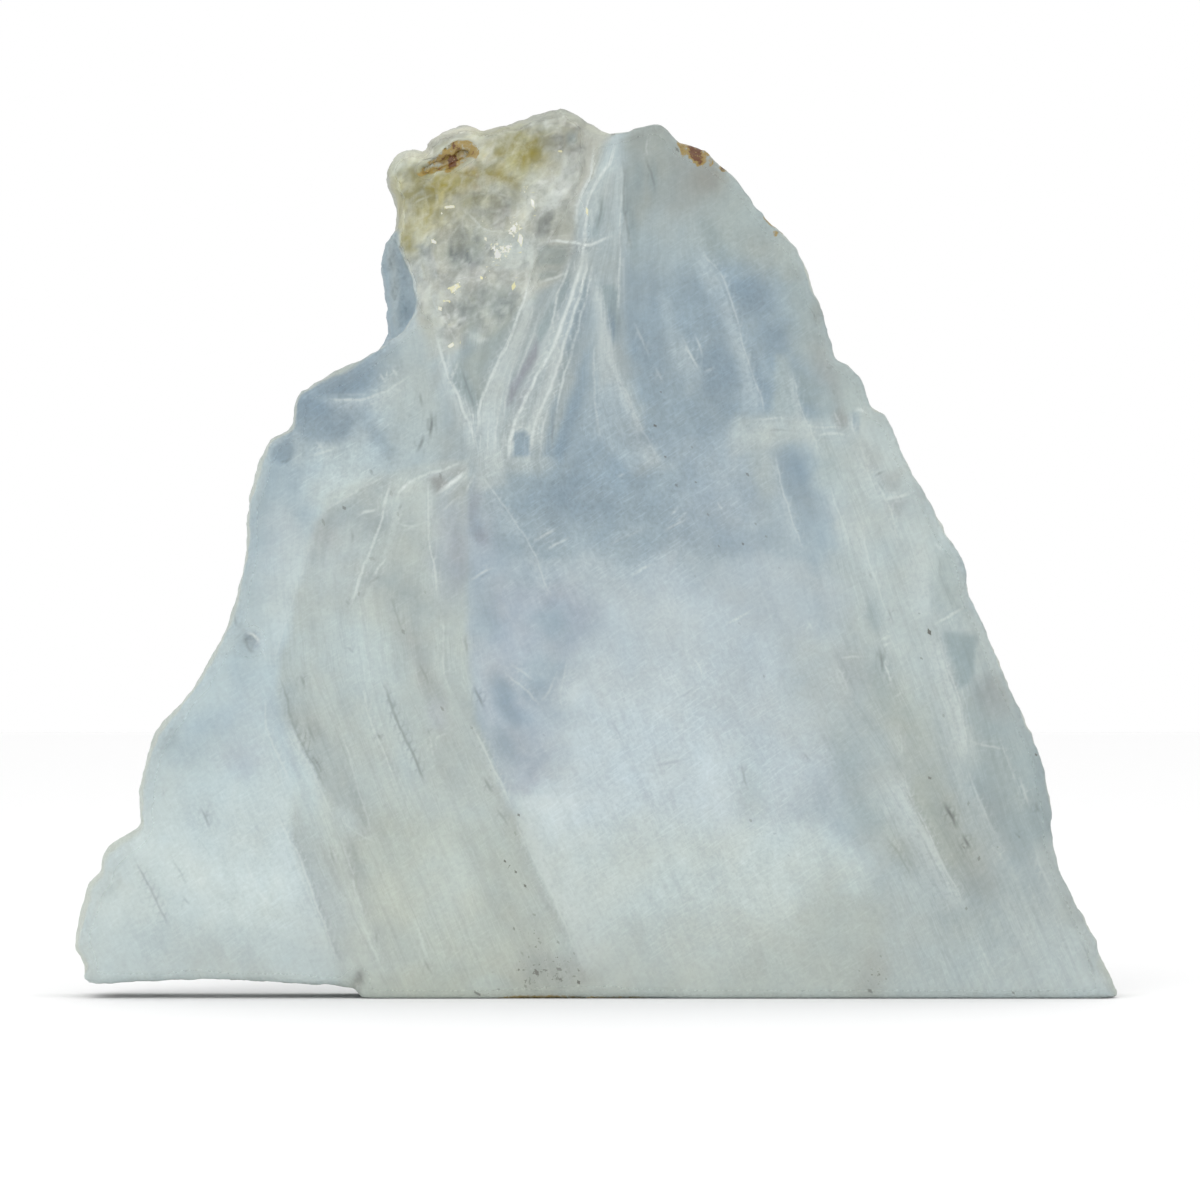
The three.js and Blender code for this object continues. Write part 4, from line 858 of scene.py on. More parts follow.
MIDDLE_LINES = [
    (1, 0, 1, 0.45, [(-19.2, 136.3), (-14, 139), (-10.5, 141.1)]),
    (1, 0, 1, 0.4, [(-15.6, 134), (-11.5, 136), (-6.8, 138.6)]),
    (1, 0, 1, 0.5, [(-38, 124.8), (-34, 127), (-29.5, 129.3)]),
    (1, 0, 1, -0.35, [(-36.4, 126), (-33, 126.8), (-31, 127.9)]),
    (1, 0, 1, 0.45, [(10, 126), (14, 128.4), (18, 130.4)]),
    (1, 0, 1, 0.45, [(38, 111.5), (43, 114), (47.5, 116.9)]),
    (1, 0, 1, 0.35, [(20, 139.3), (24, 141.8), (28.6, 144.3)]),
    (1, 0, 1, 0.35, [(22, 144.6), (25.8, 147.4)]),
    (1, 0, 1, 0.35, [(24, 142.6), (28, 146)]),
    (1, 0.12, 4, 0.2, [(2, 135), (12, 139.6), (18, 141.7)]),
    (1, 0, 1, 0.35, [(6.4, 155.9), (9.2, 157.5)]),
    (1, 0, 1, 0.3, [(36.6, 149), (37.6, 147), (38.4, 146)]),
    (-1, 0.25, 4, 0.45, [(25.3, 199.4), (28, 193.6), (30, 189.8), (32.4, 186)]),
    (1, 0, 1, 0.35, [(29.4, 199.6), (31, 196), (32.6, 191)]),
    (1, 0, 1, 0.3, [(32.8, 187.4), (35.8, 188.8)]),
    (1, 0, 1, 0.25, [(17.6, 190), (19.4, 186.5), (21, 183.2)]),
    (1, 0, 1, 0.25, [(11, 204), (14, 197), (17, 190)]),
    (-1, 0.2, 4, 0.3, [(31.5, 226), (33.4, 221.5), (37.6, 216.8), (40.6, 209), (43.2, 200), (45.6, 190.5),
        (47.9, 184.6), (50, 179), (51.2, 172.6)]),
    (-1, 0.35, 4, 0.35, [(58.8, 189.6), (59.8, 184), (61, 178.6), (62.6, 174), (64.6, 170), (66.4, 166),
        (69, 159.6)]),
    (-1, 0.25, 4, 0.3, [(53.8, 164.4), (54.3, 160), (55.5, 155), (57, 149.4), (59, 143.2), (61, 138),
        (63, 132.5)]),
    (1, -0.12, 3, 0, [(54.4, 160), (55.8, 154.6), (57.4, 149)]),
    (-1, 0.2, 4, 0.4, [(46, 172.9), (53, 173.6), (60, 173)]),
    (-1, 0.15, 2, 0.45, [(63.6, 168.6), (70, 168.9), (78, 168.5)]),
    (1, 0, 1, 0.3, [(60, 171.4), (68, 170.9), (76.5, 170.7)]),
    (1, 0, 1, -0.22, [(50, 169.4), (55, 169.9), (60, 169.7)]),
    (1, 0, 1, 0.5, [(76.6, 176), (79.6, 176), (82, 173.8)]),
    (-1, 0.2, 2, 0.45, [(77, 175.6), (76.8, 172.6), (77.2, 169.6), (78.4, 167)]),
    (1, 0, 1, 0.3, [(70.8, 176.6), (72.2, 173.6), (74, 170.7)]),
    (-1, 0.3, 3, 0.35, [(79, 167.4), (80.6, 160.4), (82.6, 156), (85, 153), (87.2, 148.6), (89.4, 142),
        (91, 134)]),
    (1, 0, 1, -0.45, [(83.2, 156.2), (85, 157.2), (87, 157.9)]),
    (1, 0, 1, -0.35, [(84.6, 155), (85.6, 152.8), (86.8, 151)]),
    (1, 0, 1, 0.55, [(84.6, 148), (88.4, 149.8), (92, 150.2), (95.8, 152.5)]),
    (1, 0, 1, -0.3, [(87.8, 149), (88.8, 146.2), (89.6, 143.6)]),
    (-1, 0.2, 4, 0.25, [(69.4, 156), (72, 147.4), (74.6, 141), (77, 132)]),
    (-1, 0.2, 4, 0.25, [(80, 146), (80.6, 136), (83.2, 127), (86, 118.4), (88.8, 112.4)]),
    (1, 0, 1, -0.4, [(81.8, 128.8), (82.6, 125.2)]),
    (-1, 0.35, 6, 0.2, [(99.4, 138), (99.4, 128), (99.6, 119), (100, 111.6)]),
    (1, 0, 1, 0.5, [(101.5, 137), (102.6, 135.4), (103.6, 133.4)]),
    (1, 0, 1, -0.3, [(105.6, 137.4), (107.4, 134.6)]),
    (1, 0, 1, 0.3, [(27.6, 103.6), (30, 101), (31.8, 97), (30, 93)]),
    (-1, 0, 1, -0.16, [(31.6, 97), (30, 93.4), (23, 88.6)]),
    (1, 0, 1, -0.2, [(15, 69.6), (22, 70.6), (30, 72.4)]),
    (1, 0, 1, -0.35, [(43.4, 72), (44.4, 66.5), (46.4, 62)]),
    (1, 0.22, 7, 0.25, [(35.6, 50), (37.6, 44.6), (41, 40), (45, 35)]),
    (1, 0, 1, 0.25, [(35.8, 38), (38.4, 31.8)]),
    (1, 0.2, 5, 0.25, [(-8.4, 104), (-9, 97), (-10.4, 91), (-9.6, 84)]),
    (1, 0, 1, 0.28, [(-28.5, 99.5), (-24, 95), (-19, 90.6), (-15, 86)]),
    (1, 0, 1, 0.25, [(-26, 101), (-21, 97), (-17, 95)]),
    (1, 0, 1, 0.25, [(-10.6, 99), (-13.6, 92.4), (-17, 88)]),
    (-1, 0.32, 7, 0.1, [(-26, 60.4), (-18, 60.6), (-10, 60.2), (-2, 60.8)]),
    (1, 0, 1, -0.16, [(4, 84), (7.2, 79.6), (9.6, 77)]),
]
RIGHT_LINES = [
    (-1, 0.3, 5, 0.3, [(71.5, 101.4), (74, 96), (76.2, 90.8)]),
    (1, 0, 1, 0.25, [(71.8, 101.6), (77, 102.2), (82, 102.7)]),
    (1, 0, 1, 0.5, [(85.4, 107.2), (86.8, 108.3), (88.6, 108.6)]),
    (1, 0, 1, 0.5, [(85.8, 105.2), (87, 106.2), (89, 106.6)]),
    (1, 0, 1, -0.5, [(85.1, 106), (85.4, 102), (86, 99), (86, 97)]),
    (1, 0, 1, 0.45, [(86.4, 103.6), (87, 99.4), (88.3, 95.6), (89.6, 92)]),
    (1, 0, 1, -0.4, [(87.4, 102), (88.4, 98.6), (90, 95), (91.7, 92)]),
    (1, 0, 1, 0.45, [(89.4, 90.7), (90.8, 90.9), (92, 92.2)]),
    (-1, 0.25, 3, -0.4, [(87, 118), (88.4, 114.6), (89.6, 111.4)]),
    (1, 0, 1, 0.5, [(100.6, 111), (104, 113.4), (108, 115.4), (111, 118)]),
    (-1, 0.45, 6, 0.35, [(101.8, 111), (104.3, 102.4), (107, 95), (109.4, 87.4), (110.8, 78), (111.2, 70)]),
    (1, 0, 1, 0.3, [(111, 77.6), (117, 75.6), (124, 74.8)]),
    (1, -0.3, 4, 0.25, [(111.1, 70), (113, 64), (115.8, 58), (118, 52.5), (121, 46)]),
    (-1, 0.50, 8, 0.35, [(92, 70), (94, 61), (97, 54.6), (99.6, 50), (103, 42.4), (106, 36.4), (109, 31),
        (111.4, 26)]),
    (1, 0, 1, -0.85, [(103.4, 60), (106, 55.6), (109, 49.8)]),
    (1, 0, 1, -0.7, [(109, 49.8), (111, 47), (112.8, 43.8)]),
    (1, 0, 1, -0.3, [(107.4, 49), (110, 44), (112.4, 40.4)]),
    (-1, 0.2, 3, 0.35, [(118, 47), (120.6, 43.4), (123, 40)]),
    (-1, 0.3, 3, 0.35, [(86.6, 60.4), (88, 56.6), (89.6, 53)]),
    (-1, -0.2, 3, -0.25, [(85, 50), (89, 46), (92.6, 40), (96, 34)]),
    (-1, 0.2, 3, 0.25, [(90.6, 84), (91.6, 76), (92.2, 70)]),
    (1, 0, 1, -0.3, [(61.6, 74.2), (63.4, 72.4), (65, 70.4)]),
    (1, 0, 1, 0.3, [(63.4, 113), (64.4, 111.6), (65.2, 110)]),
    (1, 0, 1, -0.45, [(132, 59.4), (132.2, 57.2), (133.6, 55.6)]),
    (1, 0, 1, 0.35, [(127, 68), (128.4, 62), (130.4, 56)]),
    (1, 0, 1, -0.3, [(125, 50), (127.4, 47.6)]),
    (1, 0, 1, 0.2, [(120, 80), (124, 70), (128, 60)]),
    (1, 0, 1, 0.3, [(131, 47), (134, 38), (138, 28)]),
    (-1, 0.25, 4, 0.3, [(149.4, 10.4), (152.6, 4.6), (155, 0.5)]),
    (1, 0, 1, -0.25, [(144, 20), (148, 11), (151, 4)]),
    (-1, 0.2, 4, 0.2, [(122, 34), (127, 22), (132, 10)]),
    (1, 0, 1, 0.25, [(112, 22), (117, 12), (121, 4)]),
]
LOBE_LINES = [
    (1, -0.22, 3.5, -0.35, [(-118.6, 58.8), (-116.5, 54), (-114.8, 49.6)]),
    (1, -0.14, 5, 0, [(-115, 48), (-112, 40), (-110, 30), (-110, 21)]),
    (-1, 0.12, 5, -0.12, [(-120, 49.4), (-117, 46), (-115, 42)]),
    (1, -0.22, 4, -0.3, [(-138.4, 43), (-135.5, 38), (-132, 31), (-129, 25), (-126.6, 19.6)]),
    (1, 0, 1, -0.22, [(-123.6, 31.4), (-120.8, 27.8)]),
    (1, 0, 1, -0.25, [(-129.4, 63), (-128.8, 60)]),
    (1, 0.12, 6, 0, [(-126, 48), (-120, 36), (-114, 22)]),
    (-1, 0, 1, -0.18, [(-128, 45), (-124, 38), (-121, 31)]),
    (1, 0, 1, 0.22, [(-106, 44), (-101, 34), (-96, 25)]),
    (1, 0, 1, 0.22, [(-101, 40), (-97, 32), (-93, 25)]),
]
FAN_GAIN = 0.8  # how plainly the fan's hairlines show, against the others
EDGES = [(side, haze, fade, FAN_GAIN * line, points) for side, haze, fade, line, points in FAN]
EDGES += CREST_LINES + LEFT_VEINS + PANEL_LINES + MIDDLE_LINES + RIGHT_LINES + LOBE_LINES
HAIR_REACH = 1.65  # how far from a hairline its course is still recorded
LINE_SETS = 3  # hairlines that lie too close together for these many sets are left out
VEIL_GAIN, LINE_GAIN = 0.75, 0.9  # how plainly all the hazes and all the hairlines show
LINE_WIDTH = 0.8  # half width of a plain hairline, soft edges included


def free_set(sets, near, limit, points):
    """The first set that has room for a mark at the places near it; a new one up to the limit, or None."""
    for held in sets:
        if not held["used"][near].any():
            return held
    if len(sets) == limit:
        return None
    sets.append(dict(used=np.zeros(points, bool), data=np.zeros((points, 3))))
    return sets[-1]


def crack_fields(f):
    """The haze beside the edges, and the hairlines packed into sets: offset, strength and width for each."""
    veil, sets = np.zeros(len(f.x)), []
    wander = 0.3 * f.clouds(3.0, 29, 2)
    for side, haze, fade, strength, points in sorted(EDGES, key=lambda edge: -abs(edge[3])):
        reach = max(HAIR_REACH, 2.2 * fade)
        near, dist, across, along, length = f.beside(curve_through(points), reach)
        ends = min(7, 0.45 * length)
        taper = smooth(0, ends, along) * smooth(0, ends, length - along)
        if haze:
            window = (1 - dist / reach) ** 2 * (1 + 2 * dist / reach)
            one_side = smooth(-0.5, 0.5, across * side)
            veil[near] += VEIL_GAIN * haze * taper * np.exp(-dist / fade) * window * one_side
        if not strength:
            continue
        close = dist < HAIR_REACH
        near, taper = near[close], taper[close]
        across = across[close] + wander[near]
        held = free_set(sets, near, LINE_SETS, len(f.x))
        if held is None:
            continue
        if not held["used"].any():
            held["data"][:, 2] = LINE_WIDTH
        held["used"][near] = True
        width = LINE_WIDTH * (0.7 + 0.6 * abs(strength))
        held["data"][near] = np.stack([across, LINE_GAIN * strength * taper, np.full(len(near), width)], 1)
    return veil, [held["data"] for held in sets]


# ---------- spots and painted glints ---
# Dark specks: (x, z, half width, half height, turn, strength).
SPOTS = [
    (-81.2, 142.6, 0.5, 0.8, 0, 0.5), (-75, 146.8, 0.6, 0.5, 0, 0.7), (-73, 176.8, 0.5, 0.5, 0, 0.4),
    (-70.6, 121.2, 0.4, 0.6, -20, 0.5), (-66.8, 131.6, 0.7, 0.6, 30, 0.4),
    (-66.8, 157.4, 0.5, 0.9, 20, 0.35), (-60.8, 151, 0.5, 0.8, 0, 0.4), (-59, 145, 0.5, 0.6, 0, 0.4),
    (-57.3, 109.8, 0.5, 0.6, 0, 0.5), (-51, 227, 0.6, 0.8, 0, 0.4), (-50.8, 121.6, 0.4, 0.5, 0, 0.4),
    (-46.2, 156.4, 0.4, 0.8, 0, 0.5), (-45.6, 86.7, 0.4, 0.7, 20, 0.55), (-36.8, 81, 0.4, 0.4, 0, 0.5),
    (-35.2, 1.4, 1.1, 0.4, -20, 0.8), (-31.2, 68.4, 0.35, 0.35, 0, 0.4), (-30.6, 8, 0.3, 0.3, 0, 0.4),
    (-28.9, 2.8, 0.5, 0.3, 20, 0.6), (-27.4, 261.2, 0.7, 0.3, 10, 0.4), (-26.9, 41.2, 0.4, 0.4, 0, 0.9),
    (-24.2, 21, 0.35, 0.5, 0, 0.65), (-23.8, 49.4, 0.5, 0.3, -30, 0.45), (-23.7, 38, 0.4, 0.4, 0, 0.85),
    (-22.8, 55, 0.4, 0.4, 0, 0.8), (-21.8, 13.6, 0.45, 0.45, 0, 0.45), (-20.9, 33.8, 0.4, 0.4, 0, 0.85),
    (-20.8, 3.7, 0.4, 0.5, 0, 0.6), (-18.2, 25.2, 0.6, 0.3, -10, 0.5), (-17.4, 7.8, 0.7, 0.8, 0, 0.8),
    (-16.5, 16.9, 0.5, 0.35, -30, 0.5), (-15.2, 78.8, 0.5, 0.4, 0, 0.4), (-11, 17, 0.4, 0.4, 0, 0.55),
    (-10.7, 8.9, 0.6, 0.45, 20, 0.7), (-7.6, 71, 0.4, 0.3, 0, 0.2), (-6.2, 13.6, 0.35, 0.35, 0, 0.5),
    (-4.9, 5, 0.5, 0.6, 0, 0.9), (-3.6, 147.3, 0.35, 0.35, 0, 0.4), (5, 258.7, 0.7, 0.35, 20, 0.6),
    (18, 171.4, 0.45, 0.35, 0, 0.85), (19.6, 181.5, 0.45, 0.35, 0, 0.65), (21, 162.1, 0.35, 0.3, 0, 0.7),
    (24.3, 153.6, 0.4, 0.35, 0, 0.6), (24.6, 254, 0.4, 0.7, 20, 0.75), (28.9, 165, 0.35, 0.35, 0, 0.5),
    (30, 126.3, 0.35, 0.35, 0, 0.4), (30.2, 154.4, 0.4, 0.35, 0, 0.6), (33.8, 144.8, 0.35, 0.35, 0, 0.55),
    (37, 135.4, 0.35, 0.35, 0, 0.6), (37.9, 248.3, 0.7, 0.7, 0, 0.6), (43.2, 112.2, 0.45, 0.45, 0, 0.4),
    (44.2, 136, 0.4, 0.4, 0, 0.7), (45.6, 156.8, 0.35, 0.5, 20, 0.7), (46.6, 53.3, 0.4, 0.4, 0, 0.5),
    (48, 142, 0.5, 0.35, -20, 0.5), (50.6, 96.4, 0.35, 0.4, 0, 0.45), (51.2, 138.2, 0.4, 0.35, 0, 0.5),
    (52.2, 232.6, 0.8, 0.35, -50, 0.5), (53.8, 49.4, 0.6, 0.3, 20, 0.4), (55.2, 128.8, 0.4, 0.3, 0, 0.4),
    (58, 42.8, 0.4, 0.3, 0, 0.4), (60, 217, 0.6, 0.5, 0, 0.3), (60.6, 140, 0.5, 0.3, 0, 0.4),
    (66, 203.6, 0.5, 0.5, 0, 0.4), (68.8, 128.8, 0.5, 0.35, 0, 0.35), (70, 188.6, 0.9, 0.4, 10, 0.4),
    (71.4, 181.4, 0.5, 0.8, 0, 0.35), (75.8, 179, 0.6, 0.4, -40, 0.5), (79, 8.4, 0.35, 0.35, 0, 0.5),
    (82.3, 2.2, 0.8, 0.6, 0, 0.7), (85.4, 12.8, 0.35, 0.35, 0, 0.5), (87, 6, 0.35, 0.35, 0, 0.5),
    (97, 115.2, 0.4, 0.3, 0, 0.5), (97.6, 101.8, 0.4, 0.3, 0, 0.6), (100, 109.7, 0.55, 0.8, 0, 0.95),
    (100.1, 66, 0.5, 0.35, 0, 0.75), (104.2, 84.6, 0.35, 0.45, 0, 0.5), (109.2, 113.6, 0.6, 0.5, 0, 0.3),
    (110.2, 45.4, 0.4, 0.35, 0, 0.6), (111, 27, 0.5, 0.4, -40, 0.6), (111.6, 58.4, 0.35, 0.6, -30, 0.5),
    (114.8, 42, 0.4, 0.6, -30, 0.6), (120.4, 45.4, 0.35, 0.35, 0, 0.5), (125, 1.6, 0.45, 0.45, 0, 0.7),
    (126.8, 48.4, 0.35, 0.35, 0, 0.45), (132, 73, 0.4, 0.4, 0, 0.9),
]
SPOT_REACH, SPOT_GROWTH = 1.65, 1.6  # how far round a spot its place is recorded, and how that grows with it
SPOT_SETS = 1  # spots that lie too close together for these many sets are left out
SPOT_SKEW = 0.5  # how far a spot is from a plain square

# Painted glints: highlights where cleavage steps of the break catch the light, painted into the colour, in
# the same order: gold at -0.9, white from -1.3.
GLINTS = [
    (-42.4, 212.8, 1.9, 0.9, 45, -1.0), (-18.9, 238.1, 0.5, 1.4, 5, -1.3),
    (-22.6, 243.4, 1.5, 0.5, 16, -1.3), (-22.9, 227.2, 0.7, 1.5, -10, -1.3),
    (-29.5, 223.1, 0.9, 1.0, -30, -1.3), (-43.8, 237.0, 1.6, 0.4, 16, -1.2),
    (-48.6, 226.7, 0.7, 0.5, 0, -1.3), (-24.6, 213.4, 0.6, 1.0, -30, -0.9),
    (-46.8, 206.8, 0.5, 0.5, 0, -1.2), (-42.9, 195.4, 1.0, 0.5, 50, -1.2),
    (-24.4, 232.4, 0.6, 0.9, -15, -1.3), (-34.2, 215.9, 0.5, 0.4, 0, -0.9), (-11.2, 254, 0.5, 0.35, 20, -1),
    (-2.4, 235.4, 0.35, 1.0, 0, -1), (-33.4, 227.6, 0.4, 0.5, 0, -1.2),
]


def spot_sets(f):
    """Packs dark spots of dirt and painted glints into sets: offset across, offset up, and strength for each.
    """
    sets = []
    for x, z, half_width, half_height, turn, strength in GLINTS + SPOTS:
        dx, dz = f.x - x, f.z - z
        near = np.flatnonzero(np.hypot(dx, dz) < SPOT_REACH + SPOT_GROWTH * max(half_width, half_height))
        c, s = math.cos(math.radians(turn)), math.sin(math.radians(turn))
        a = (c * dx[near] + s * dz[near]) / half_width
        b = (c * dz[near] - s * dx[near]) / half_height
        b = b + SPOT_SKEW * a
        held = free_set(sets, near, SPOT_SETS, len(f.x))
        if held is None:
            continue
        held["used"][near] = True
        held["data"][near] = np.stack([a, b, np.full(len(near), strength)], 1)
    return [held["data"] for held in sets]


# ---------- stains, painted glitter, hatching and finish ---
# Iron stain, (strength, mark): tan about 0.5, dark brown from 1.
IRON = [
    # beside the hollow of the crest
    (0.52, 0.8, [(-54.6, 247.4), (-50.6, 250.6), (-47.6, 252.6), (-43.6, 253.6), (-43, 248.2), (-47, 248.4),
        (-50.8, 246.2)]),
    (0.55, 0.7, [(-41.6, 254.2), (-39.6, 255.6), (-36.4, 256.2), (-36, 251.6), (-38.6, 252),
        (-40.8, 251.4)]),
    (1.3, (-44.7, 250.8, 1.5, 3.0, 8, 0.6)),
    (0.6, (-39.4, 254, 3.4, 1.8, -20, 0.8)),
    (0.75, (-38, 253.4, 1.6, 1.8, 0, 0.6)),
    (0.85, (-50.4, 248.6, 2.2, 0.8, 30, 0.6)),
    (0.7, (-53, 247, 1.4, 0.8, 10, 0.6)),
    (0.6, (-41.8, 255.6, 1.2, 0.7, 10, 0.6)),
    # rust on the right-hand edge of the top
    (0.55, 0.5, [(24.6, 257.4), (30, 256.6), (37, 252.4), (34, 249.6), (30.4, 250), (26.4, 253)]),
    (1.25, 0.9, [(26.6, 257.4), (30.2, 256.4), (32.6, 252), (31.6, 248.4), (29.4, 250.4), (27.4, 253.6)]),
    (0.8, 0.8, [(24.4, 257), (26.4, 257.2), (27.4, 252.6), (25.8, 251.6)]),
    (0.85, 0.8, [(31.4, 256), (35.4, 254), (38, 250.8), (33.4, 252.4)]),
    (0.8, (34.4, 250, 0.8, 1.6, -20, 0.8)),
    (1.0, (38, 248.6, 1.5, 1.0, -30, 0.7)),
    (0.5, (54.6, 229, 2.2, 1.3, 0, 0.7)),
    (0.7, (52, 232.8, 0.8, 2.4, 40, 0.7)),
    (0.8, (54.2, 228.4, 1.0, 0.8, 0, 0.7)),
]
OLIVE = [
    (0.95, (-22.4, 251.4, 1.8, 2.2, -20, 0.9)),
    (0.6, (-20.8, 253.6, 4.4, 3.6, 30, 0.9)),
    (0.5, (-25.4, 255.6, 5, 2.4, 30, 0.9)),
    (0.8, (-28.6, 246.0, 4.2, 1.6, -24, 0.9)),
    (0.45, (-26, 243.6, 3, 1.4, -20, 0.8)),
    (0.4, (-38, 245.6, 5, 2.0, 4, 0.8)),
    (0.7, (-46.6, 242.8, 4.0, 1.7, -8, 0.8)),
    (0.5, (-43.6, 246.6, 5, 1.2, 10, 0.8)),
    (0.4, (-50, 236.4, 2.6, 3, 30, 0.8)),
    (0.4, (-56.4, 228, 1.8, 3.6, 10, 0.8)),
    (0.4, (-55.6, 238, 0.9, 3, 4, 0.8)),
    (0.35, (-54, 240, 4, 8, 10, 0.9)),
]


def stain_masks(f):
    """How strongly iron stain, tan to dark brown, and olive stain lie on each place."""
    rag = f.clouds(3.4, 83, 3)
    brown = np.maximum(f.strongest(IRON), (0.62 + 0.3 * f.clouds(1.7, 47, 2)) * f.hollow())
    olive = f.strongest(OLIVE)
    return brown + 0.12 * rag * (brown > 0.02), np.clip(olive + 0.5 * rag * olive, 0, 1)


def foot_stain(f, co):
    """Brown soil rubbed into the foot's front edge."""
    x, z = f.x, co[:, 2]
    top = 1.5 - 0.012 * np.abs(x + 16) + 0.4 * clouds(x, 0 * z, 5, 3)
    ends = smooth(-40, -24, x) * (1 - smooth(4, 44, x))
    darkest = 0.75 + 0.25 * np.exp(-(((x + 21) / 6) ** 2))
    return 0.8 * ends * darkest * (1 - smooth(top - 1.2, top + 0.2, z))


# (strength, oval) of fine dirt.
DUST = [
    (0.8, (-15, 7, 15, 7, 12, 0.9)),
    (0.7, (-19, 15, 8, 8, -20, 0.8)),
    (0.6, (-22, 28, 5, 8, -10, 0.8)),
    (0.5, (-30, 3, 9, 3, 0, 0.8)),
    (0.7, (83, 7, 5, 7, -20, 0.8)),
    (0.6, (26, 252.6, 3, 3, 0, 0.8)),
    (0.6, (35, 248.6, 4, 2.4, -35, 0.8)),
    (0.5, (-76, 145, 9, 2, 36, 0.8)),
    (0.45, (-54, 104, 3, 16, 20, 0.8)),
    (0.4, (-47, 84, 3, 16, 22, 0.8)),
    (0.5, (99, 108, 5, 3, -30, 0.8)),
    (0.45, (106, 52, 4, 14, 24, 0.8)),
    (0.4, (71, 182, 2, 9, 12, 0.8)),
    (0.35, (-50, 160, 3, 12, 0, 0.8)),
    (0.4, (22, 160, 12, 12, 0, 0.8)),
]


def dust_strength(f):
    """Where fine dark dirt is ground into the face."""
    return f.strongest(DUST)


# (strength, oval) of glitter: painted highlights where small cleavage steps flash.
PAINTED_GLITTER = [
    (0.9, (-22, 242.6, 3, 2.2, 0, 0.6)),
    (1, (-24.4, 230.6, 2.6, 4, 0, 0.7)),
    (1, (-28.4, 223.6, 5, 3, 38, 0.7)),
    (0.7, (-33, 217.6, 3.4, 2, 40, 0.7)),
    (0.7, (-45.4, 234.6, 3, 1.6, 30, 0.7)),
    (0.6, (-48.6, 227.4, 2, 2, 0, 0.7)),
    (0.9, (-41.6, 212.6, 3, 2.6, 40, 0.7)),
    (0.6, (-44.6, 200, 2, 7, -14, 0.7)),
    (0.55, (-34, 228, 12, 14, 0, 0.7)),
]


def painted_glitter_strength(f):
    """Where small cleavage steps flash, as painted highlights."""
    return f.strongest(PAINTED_GLITTER)


# How plainly the crystal's fibres show: (amount, mark).
FIBRES = [
    (1.0, 3, [(-14, 262), (8, 262), (10, 200), (20, 158), (-40, 156), (-46, 196), (-22, 210)]),
    (0.75, 5, [(-96, 110), (-66, 122), (-36, 110), (-22, 48), (0, -4), (-72, -4), (-92, 50)]),
    (0.95, 6, [(70, 178), (92, 160), (112, 120), (140, 50), (150, -4), (96, -4), (84, 60), (70, 120)]),
    (0.55, (20, 60, 50, 50, 0, 0.4)),
    (0.25, (-38, 236, 26, 26, 0, 0.4)),
]


def grain_strength(f):
    """How plainly the crystal's fibres show."""
    return f.layered(0.42, FIBRES)


# How many fine cross scratches a place has: (amount, mark).
HATCHES = [
    (1.0, (4, 156, 40, 30, 0, 0.5)),
    (0.8, (40, 195, 22, 34, 0, 0.5)),
    (0.85, (-78, 172, 22, 20, 0, 0.5)),
    (0.6, (30, 60, 40, 40, 0, 0.5)),
    (0.6, (-34, 236, 30, 30, 0, 0.4)),
    (0.45, (-98, 36, 18, 16, 0, 0.6)),
]


def hatch_strength(f):
    """How many fine cross scratches a place has."""
    return f.layered(0.35, HATCHES)


# Where the crest's face is broken rather than polished.
BREAK = [(-66, 262), (-14, 270), (-4, 262), (-3, 248), (-8, 234), (-18, 222), (-22, 208), (-34, 196),
         (-46, 196), (-54, 210), (-60, 228)]

# The whole crest, whose edge is rougher than the rest.
CREST = [(-72, 195), (-72, 275), (-4, 275), (-4, 246), (-18, 226), (-30, 200), (-52, 196)]


# ---------- the slab's mesh ----------
def remeshed(source, cell):
    """A fine, even copy of a CAD solid's skin, in millimetres: points, normals and faces."""
    copy = bpy.data.objects.new("skin_work", source.data.copy())
    bpy.context.scene.collection.objects.link(copy)
    skin = copy.modifiers.new("skin", "REMESH")
    skin.mode = "VOXEL"
    skin.voxel_size = cell * MM
    bpy.context.view_layer.update()
    mesh = copy.evaluated_get(bpy.context.evaluated_depsgraph_get()).to_mesh()
    co = np.zeros(len(mesh.vertices) * 3)
    mesh.vertices.foreach_get("co", co)
    normals = np.zeros(len(mesh.vertices) * 3)
    mesh.vertices.foreach_get("normal", normals)
    faces = [tuple(p.vertices) for p in mesh.polygons]
    bpy.data.objects.remove(copy)
    return co.reshape(-1, 3) / MM, normals.reshape(-1, 3), faces


def neighbour_mean(faces, count):
    """A function that averages the values of each point's neighbours on the skin."""
    quads = np.array(faces)
    here, there = quads.ravel(), np.roll(quads, -1, 1).ravel()
    here, there = np.concatenate([here, there]), np.concatenate([there, here])
    shared = np.bincount(here, minlength=count)

    def mean(values):
        return np.stack([np.bincount(here, column[there], count) / shared for column in values.T], 1)

    return mean


def relaxed(co, mean, weight, steps):
    """Evens the skin out wherever weight is above 0."""
    for _ in range(steps):
        co = co + weight * (mean(co) - co)
    return co


def new_piece(name, co, faces, material):
    mesh = bpy.data.meshes.new(name)
    mesh.from_pydata([tuple(p) for p in co * MM], [], faces)
    mesh.materials.append(material)
    mesh.polygons.foreach_set("use_smooth", [True] * len(mesh.polygons))
    mesh.update()
    piece = bpy.data.objects.new(name, mesh)
    bpy.context.scene.collection.objects.link(piece)
    return piece


def store(mesh, name, values):
    """Keeps three numbers for every point of a mesh."""
    layer = mesh.attributes.new(name, "FLOAT_VECTOR", "POINT")
    layer.data.foreach_set("vector", np.asarray(values, np.float32).ravel())


# ---------- shader helpers ----------
def put(tree, kind, inputs=None, **settings):
    """A node with its settings and its inputs, each a number, a colour or another node's output."""
    made = tree.nodes.new(kind)
    for key, value in settings.items():
        setattr(made, key, value)
    for key, value in (inputs or {}).items():
        if isinstance(value, bpy.types.NodeSocket):
            tree.links.new(value, made.inputs[key])
        else:
            made.inputs[key].default_value = value
    return made


